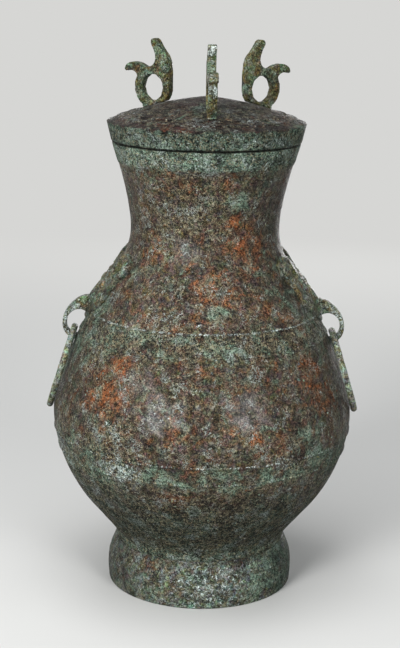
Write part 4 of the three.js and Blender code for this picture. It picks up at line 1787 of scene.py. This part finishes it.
@dataclass
class Rings:
    """The two loose rings in the eyelets, bent round by Geometry Nodes.

    Sizes are in millimetres. bar is the worn bar's radius, and solid_bar the CAD ring's.
    """

    bar: float = 2.62
    solid_bar: float = 2.8
    around: int = 160
    bar_steps: int = 22
    noise_middle: float = 0.56
    seed: float = 60.0
    seed_apart: float = 50.0
    finish: Patina = Patina("ring_patina", film=srgb(96, 104, 88), film_warm=srgb(126, 122, 98),
                            film_cool=srgb(146, 164, 148), rust=0.1, green=0.2, chalk=1.0, cool=1.0,
                            salt=1.0, seed=280)

    def tree(self) -> bpy.types.NodeTree:
        """Builds the tree that makes one ring with an uneven, corroded bar.

        Returns:
            The tree.
        """
        graph, given = start_tree("cast_ring", {
            "Radius": "Float", "Bar": "Float", "Steps": "Int", "Wear": "Float", "Seed": "Float",
            "Lean": "Float", "Centre": "Vector", "Finish": "Material"})
        loop = graph.node("GeometryNodeCurvePrimitiveCircle", {"mode": "RADIUS"},
                          {"Resolution": given["Steps"], "Radius": given["Radius"]})
        profile = graph.node("GeometryNodeCurvePrimitiveCircle", {"mode": "RADIUS"},
                             {"Resolution": self.bar_steps, "Radius": given["Bar"]})
        tube = graph.node("GeometryNodeCurveToMesh", {},
                          {"Curve": loop.outputs["Curve"], "Profile Curve": profile.outputs["Curve"]})
        shifted = graph.vector("ADD", graph.mesh_place(), graph.combine({0: given["Seed"]}))
        coarse = graph.noise(shifted, size=9, detail=3, rough=0.6) - self.noise_middle
        fine = graph.noise(shifted, size=2.6, detail=3, rough=0.7) - self.noise_middle
        push = (coarse + fine * 0.5) * Num(graph, given["Wear"]) * MM
        hung = graph.node("GeometryNodeTransform", {}, {
            "Geometry": pushed_out(graph, tube.outputs[0], push), "Translation": given["Centre"],
            "Rotation": graph.combine({1: given["Lean"]})})
        return end_tree(graph, hung.outputs[0], given["Finish"])

    def build(self) -> list[bpy.types.Object]:
        """Builds and dresses both rings, each where the CAD ring hangs.

        Returns:
            The pieces.
        """
        tree = self.tree()
        material = self.finish.material()
        made = []
        for name, sign in (("right", 1), ("left", -1)):
            low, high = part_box(f"handle_ring_{name}")
            centre = (Vector(low) + Vector(high)) / 2
            radius = (high[1] - low[1]) / 2 - self.solid_bar * MM
            lean = math.asin(((high[0] - low[0]) / 2 - self.solid_bar * MM) / radius)
            values = {"Radius": radius, "Bar": self.bar * MM, "Steps": self.around, "Wear": 1.0,
                      "Seed": self.seed + self.seed_apart * sign, "Lean": sign * (math.pi / 2 - lean),
                      "Centre": tuple(centre), "Finish": material}
            ring = grown(f"ring_{name}", tree, values)
            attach(ring, f"ring_{name}")
            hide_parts(f"handle_ring_{name}")
            made.append(ring)
        return made


@dataclass(frozen=True)
class Strewing:
    """Where grains of crust stand on one casting, with heights in millimetres and density per m2."""

    body: str
    slot: str
    low: float
    high: float
    density: float
    seed: int


@dataclass
class Crust:
    """Grains of mineral that stand on the castings, strewn over them by Geometry Nodes.

    smallest and largest are a grain's half width in millimetres, longer stretches it one way,
    flatness is its height as a share of that width, and lumpiness how far its points are moved. A
    span holds the values between which the crust thins out: the distance in from its lowest and
    highest place, how far round to the side, where the rings swing, how far to the front or back,
    how crowded a cluster is and how squarely the surface faces outwards.
    """

    smallest: float = 0.3
    largest: float = 0.95
    flatness: float = 0.5
    longer: float = 1.2
    lumpiness: float = 0.7
    grain_segments: int = 7
    grain_rings: int = 4
    end_span: Row = (0, 4)
    ring_span: Row = (0.8, 0.86)
    depth_span: Row = (114, 117)
    cluster_span: Row = (0.5, 0.66)
    facing_span: Row = (0.1, 0.2)
    strewings: dict[str, Strewing] = field(default_factory=lambda: {
        "jar": Strewing("jar", "jar_bronze", 42, 352, 50000, 3),
        "foot": Strewing("jar", "foot_bronze", 3, 33, 60000, 5),
        "lid": Strewing("lid", "lid_bronze", 363, 373, 60000, 7),
    })
    finish: Patina = Patina("crust_patina", film=srgb(84, 92, 82), film_warm=srgb(118, 110, 86),
                            film_cool=srgb(112, 130, 118), rust=0.4, green=0.4, chalk=1.0, cool=0.9,
                            salt=0.6, pits=0.2, seed=320)

    def strewn(self, graph: Graph, given: Any) -> Num:
        """Finds how densely grains stand at a place: in clusters, outside, and clear of the rings.

        Args:
            graph: the tree's graph.
            given: its inputs.

        Returns:
            The density there, as a share of the full one.
        """
        place = graph.mesh_place()
        flat = graph.vector("NORMALIZE", graph.vector("MULTIPLY", place, (1, 1, 0)))
        normal = graph.node("GeometryNodeInputNormal").outputs[0]
        facing = graph.vector("DOT_PRODUCT", normal, flat, output=1)
        height = graph.part(place, "Z")
        above = graph.step(height - Num(graph, given["Low"]), *self.end_span)
        below = graph.step(Num(graph, given["High"]) - height, *self.end_span)
        clear = 1 - graph.step(abs(graph.part(flat, "X")), *self.ring_span)
        inside_box = 1 - graph.step(abs(graph.part(place, "Y")), *self.depth_span)
        crowding = graph.noise(place, size=26, detail=3, rough=0.7, warp=0.6)
        clusters = graph.step(crowding, *self.cluster_span)
        return above * below * clear * inside_box * clusters * graph.step(facing, *self.facing_span)

    def tree(self) -> bpy.types.NodeTree:
        """Builds the tree that strews lumpy grains over a casting's outside.

        Returns:
            The tree.
        """
        graph, given = start_tree("strewn_crust", {
            "Casting": "Geometry", "Density": "Float", "Seed": "Int", "Low": "Float", "High": "Float",
            "Smallest": "Float", "Largest": "Float", "Flatness": "Float", "Finish": "Material"})
        spots = graph.node("GeometryNodeDistributePointsOnFaces", {"distribute_method": "RANDOM"}, {
            "Mesh": given["Casting"], "Density": self.strewn(graph, given) * Num(graph, given["Density"]),
            "Seed": given["Seed"]})
        grain = graph.node("GeometryNodeMeshUVSphere", {}, {
            "Segments": self.grain_segments, "Rings": self.grain_rings, "Radius": MM})
        width = Num(graph, graph.node("FunctionNodeRandomValue", {"data_type": "FLOAT"}, {
            2: given["Smallest"], 3: given["Largest"], "Seed": given["Seed"]}).outputs[1])
        scale = graph.combine({0: width, 1: width * self.longer, 2: width * Num(graph, given["Flatness"])})
        grains = graph.node("GeometryNodeInstanceOnPoints", {}, {
            "Points": spots.outputs["Points"], "Instance": grain.outputs["Mesh"],
            "Rotation": spots.outputs["Rotation"], "Scale": scale})
        real = graph.node("GeometryNodeRealizeInstances", {}, {"Geometry": grains.outputs[0]})
        lumps = graph.noise(graph.mesh_place(), size=1.1, detail=1) - 0.5
        lumpy = pushed_out(graph, real.outputs[0], lumps * self.lumpiness * MM)
        return end_tree(graph, lumpy, given["Finish"])

    def build(self, castings: dict[str, bpy.types.Object]) -> list[bpy.types.Object]:
        """Strews the crust over the castings.

        Args:
            castings: the dressed castings, by the names in strewings.

        Returns:
            One piece for each casting.
        """
        tree = self.tree()
        material = self.finish.material()
        made = []
        for name, strewing in self.strewings.items():
            values = {"Density": float(strewing.density), "Seed": strewing.seed, "Low": float(strewing.low),
                      "High": float(strewing.high), "Smallest": self.smallest, "Largest": self.largest,
                      "Flatness": self.flatness, "Finish": material}
            crust = grown(f"{name}_crust", tree, values, castings[name].data)
            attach(crust, strewing.body)
            made.append(crust)
        return made


@dataclass(frozen=True)
class Lamp:
    """A soft box: where it hangs and its width and height, in metres, and its power in watts."""

    name: str
    place: tuple[float, float, float]
    size: tuple[float, float]
    energy: float


@dataclass
class Studio:
    """The floor, the backdrop, the lamps and the camera.

    The camera's place and the lamps' aim are in metres, its pitch and roll in degrees, and the
    floor's sizes in millimetres. The floor fades into the backdrop between the two reaches of fade.
    """

    lens: float = FOCAL_PIXELS / PHOTO_HEIGHT * SENSOR_WIDTH
    camera_place: tuple[float, float, float] = (-0.00266, -1.1701, 0.4974)
    pitch: float = 13.66
    roll: float = 0.9636
    aim: tuple[float, float, float] = (0, 0, 0.22)
    lamps: tuple[Lamp, ...] = (
        Lamp("left_box", (-1.1, -1.8, 0.95), (0.7, 1.1), 49),
        Lamp("right_box", (1.15, -1.85, 0.85), (0.7, 1.1), 25),
        Lamp("top_box", (-0.2, -0.3, 2.0), (1.4, 1.4), 20),
        Lamp("back_box", (0.3, 2.0, 0.25), (1.2, 0.5), 22),
    )
    paper: Colour = srgb(214, 214, 212)
    bounce: Colour = srgb(120, 120, 118)
    floor_radius: float = 40000.0
    floor_steps: int = 96
    fade: Row = (560, 1600)
    air_colour: Colour = (0.9, 0.95, 1.0, 1)
    ambient: float = 0.2

    def seen(self, graph: Graph) -> Num:
        """Finds which rays look at the studio, and which only gather its light.

        Args:
            graph: the tree's graph.

        Returns:
            1 for a ray of the camera, of a reflection or through glass, and 0 for any other.
        """
        rays = graph.node("ShaderNodeLightPath").outputs
        looking = Num(graph, rays["Is Camera Ray"]).larger(rays["Is Glossy Ray"])
        return looking.larger(rays["Is Transmission Ray"])

    def floor(self) -> None:
        """Lays a round pale floor, whose far part is as bright as the backdrop."""
        turns = [2 * math.pi * step / self.floor_steps for step in range(self.floor_steps)]
        vertices = [(self.floor_radius * math.cos(turn), self.floor_radius * math.sin(turn), 0)
                    for turn in turns]
        made = piece("studio_floor", vertices, [tuple(range(self.floor_steps))])
        material, graph = empty_material("studio_paper")
        lit = graph.node("ShaderNodeEmission", {}, {"Color": self.paper})
        far = graph.step(graph.length(graph.place()), *self.fade)
        seen = self.seen(graph)
        paper = graph.node("ShaderNodeBsdfDiffuse", {}, {"Color": graph.mix(seen, self.bounce, self.paper)})
        both = graph.node("ShaderNodeMixShader", {}, {
            0: far * seen, 1: paper.outputs[0], 2: lit.outputs[0]})
        graph.node("ShaderNodeOutputMaterial", {}, {0: both.outputs[0]})
        made.data.materials.append(material)

    def air(self) -> bpy.types.World:
        """Makes a world that lights softly and looks like the floor's paper from the camera.

        Returns:
            The world.
        """
        world = bpy.data.worlds.new("studio_air")
        world.use_nodes = True
        world.node_tree.nodes.clear()
        graph = Graph(world.node_tree)
        light = graph.node("ShaderNodeBackground", {}, {"Color": self.air_colour, "Strength": self.ambient})
        backdrop = graph.node("ShaderNodeBackground", {}, {"Color": self.paper, "Strength": 1.0})
        both = graph.node("ShaderNodeMixShader", {}, {
            0: self.seen(graph), 1: light.outputs[0], 2: backdrop.outputs[0]})
        graph.node("ShaderNodeOutputWorld", {}, {0: both.outputs[0]})
        return world

    def hang(self, lamp: Lamp) -> None:
        """Hangs a soft box that faces the jar's middle.

        Args:
            lamp: the lamp.
        """
        light = bpy.data.lights.new(lamp.name, "AREA")
        light.shape = "RECTANGLE"
        light.size, light.size_y = lamp.size
        light.energy = lamp.energy
        made = bpy.data.objects.new(lamp.name, light)
        made.location = lamp.place
        made.rotation_euler = (Vector(self.aim) - Vector(lamp.place)).to_track_quat("-Z", "Y").to_euler()
        bpy.context.scene.collection.objects.link(made)

    def camera(self) -> bpy.types.Object:
        """Sets up the camera that fits the photograph.

        Returns:
            The camera.
        """
        data = bpy.data.cameras.new("photo_camera")
        data.sensor_width = SENSOR_WIDTH
        data.lens = self.lens
        made = bpy.data.objects.new("photo_camera", data)
        made.matrix_world = (Matrix.Translation(self.camera_place)
                             @ Matrix.Rotation(math.radians(90 - self.pitch), 4, "X")
                             @ Matrix.Rotation(math.radians(self.roll), 4, "Z"))
        bpy.context.scene.collection.objects.link(made)
        return made

    def build(self) -> None:
        """Sets up the whole studio."""
        scene = bpy.context.scene
        scene.view_settings.view_transform = "Standard"
        self.floor()
        for lamp in self.lamps:
            self.hang(lamp)
        scene.world = self.air()
        scene.camera = self.camera()


def main() -> None:
    """Loads the frame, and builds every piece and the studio."""
    logging.basicConfig(level=logging.INFO, format="%(message)s")
    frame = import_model()
    nodes = frame["nodes"]
    castings = {"jar": Jar().build(), "foot": Foot().build(), "lid": Lid().build()}
    made = [*castings.values(), *Knobs().build(nodes), *Masks().build(nodes), *Rings().build(),
            *Crust().build(castings)]
    for part in made:
        log.info("%s: %d faces", part.name, len(part.data.polygons))
    Studio().build()


if __name__ == "__main__":
    main()
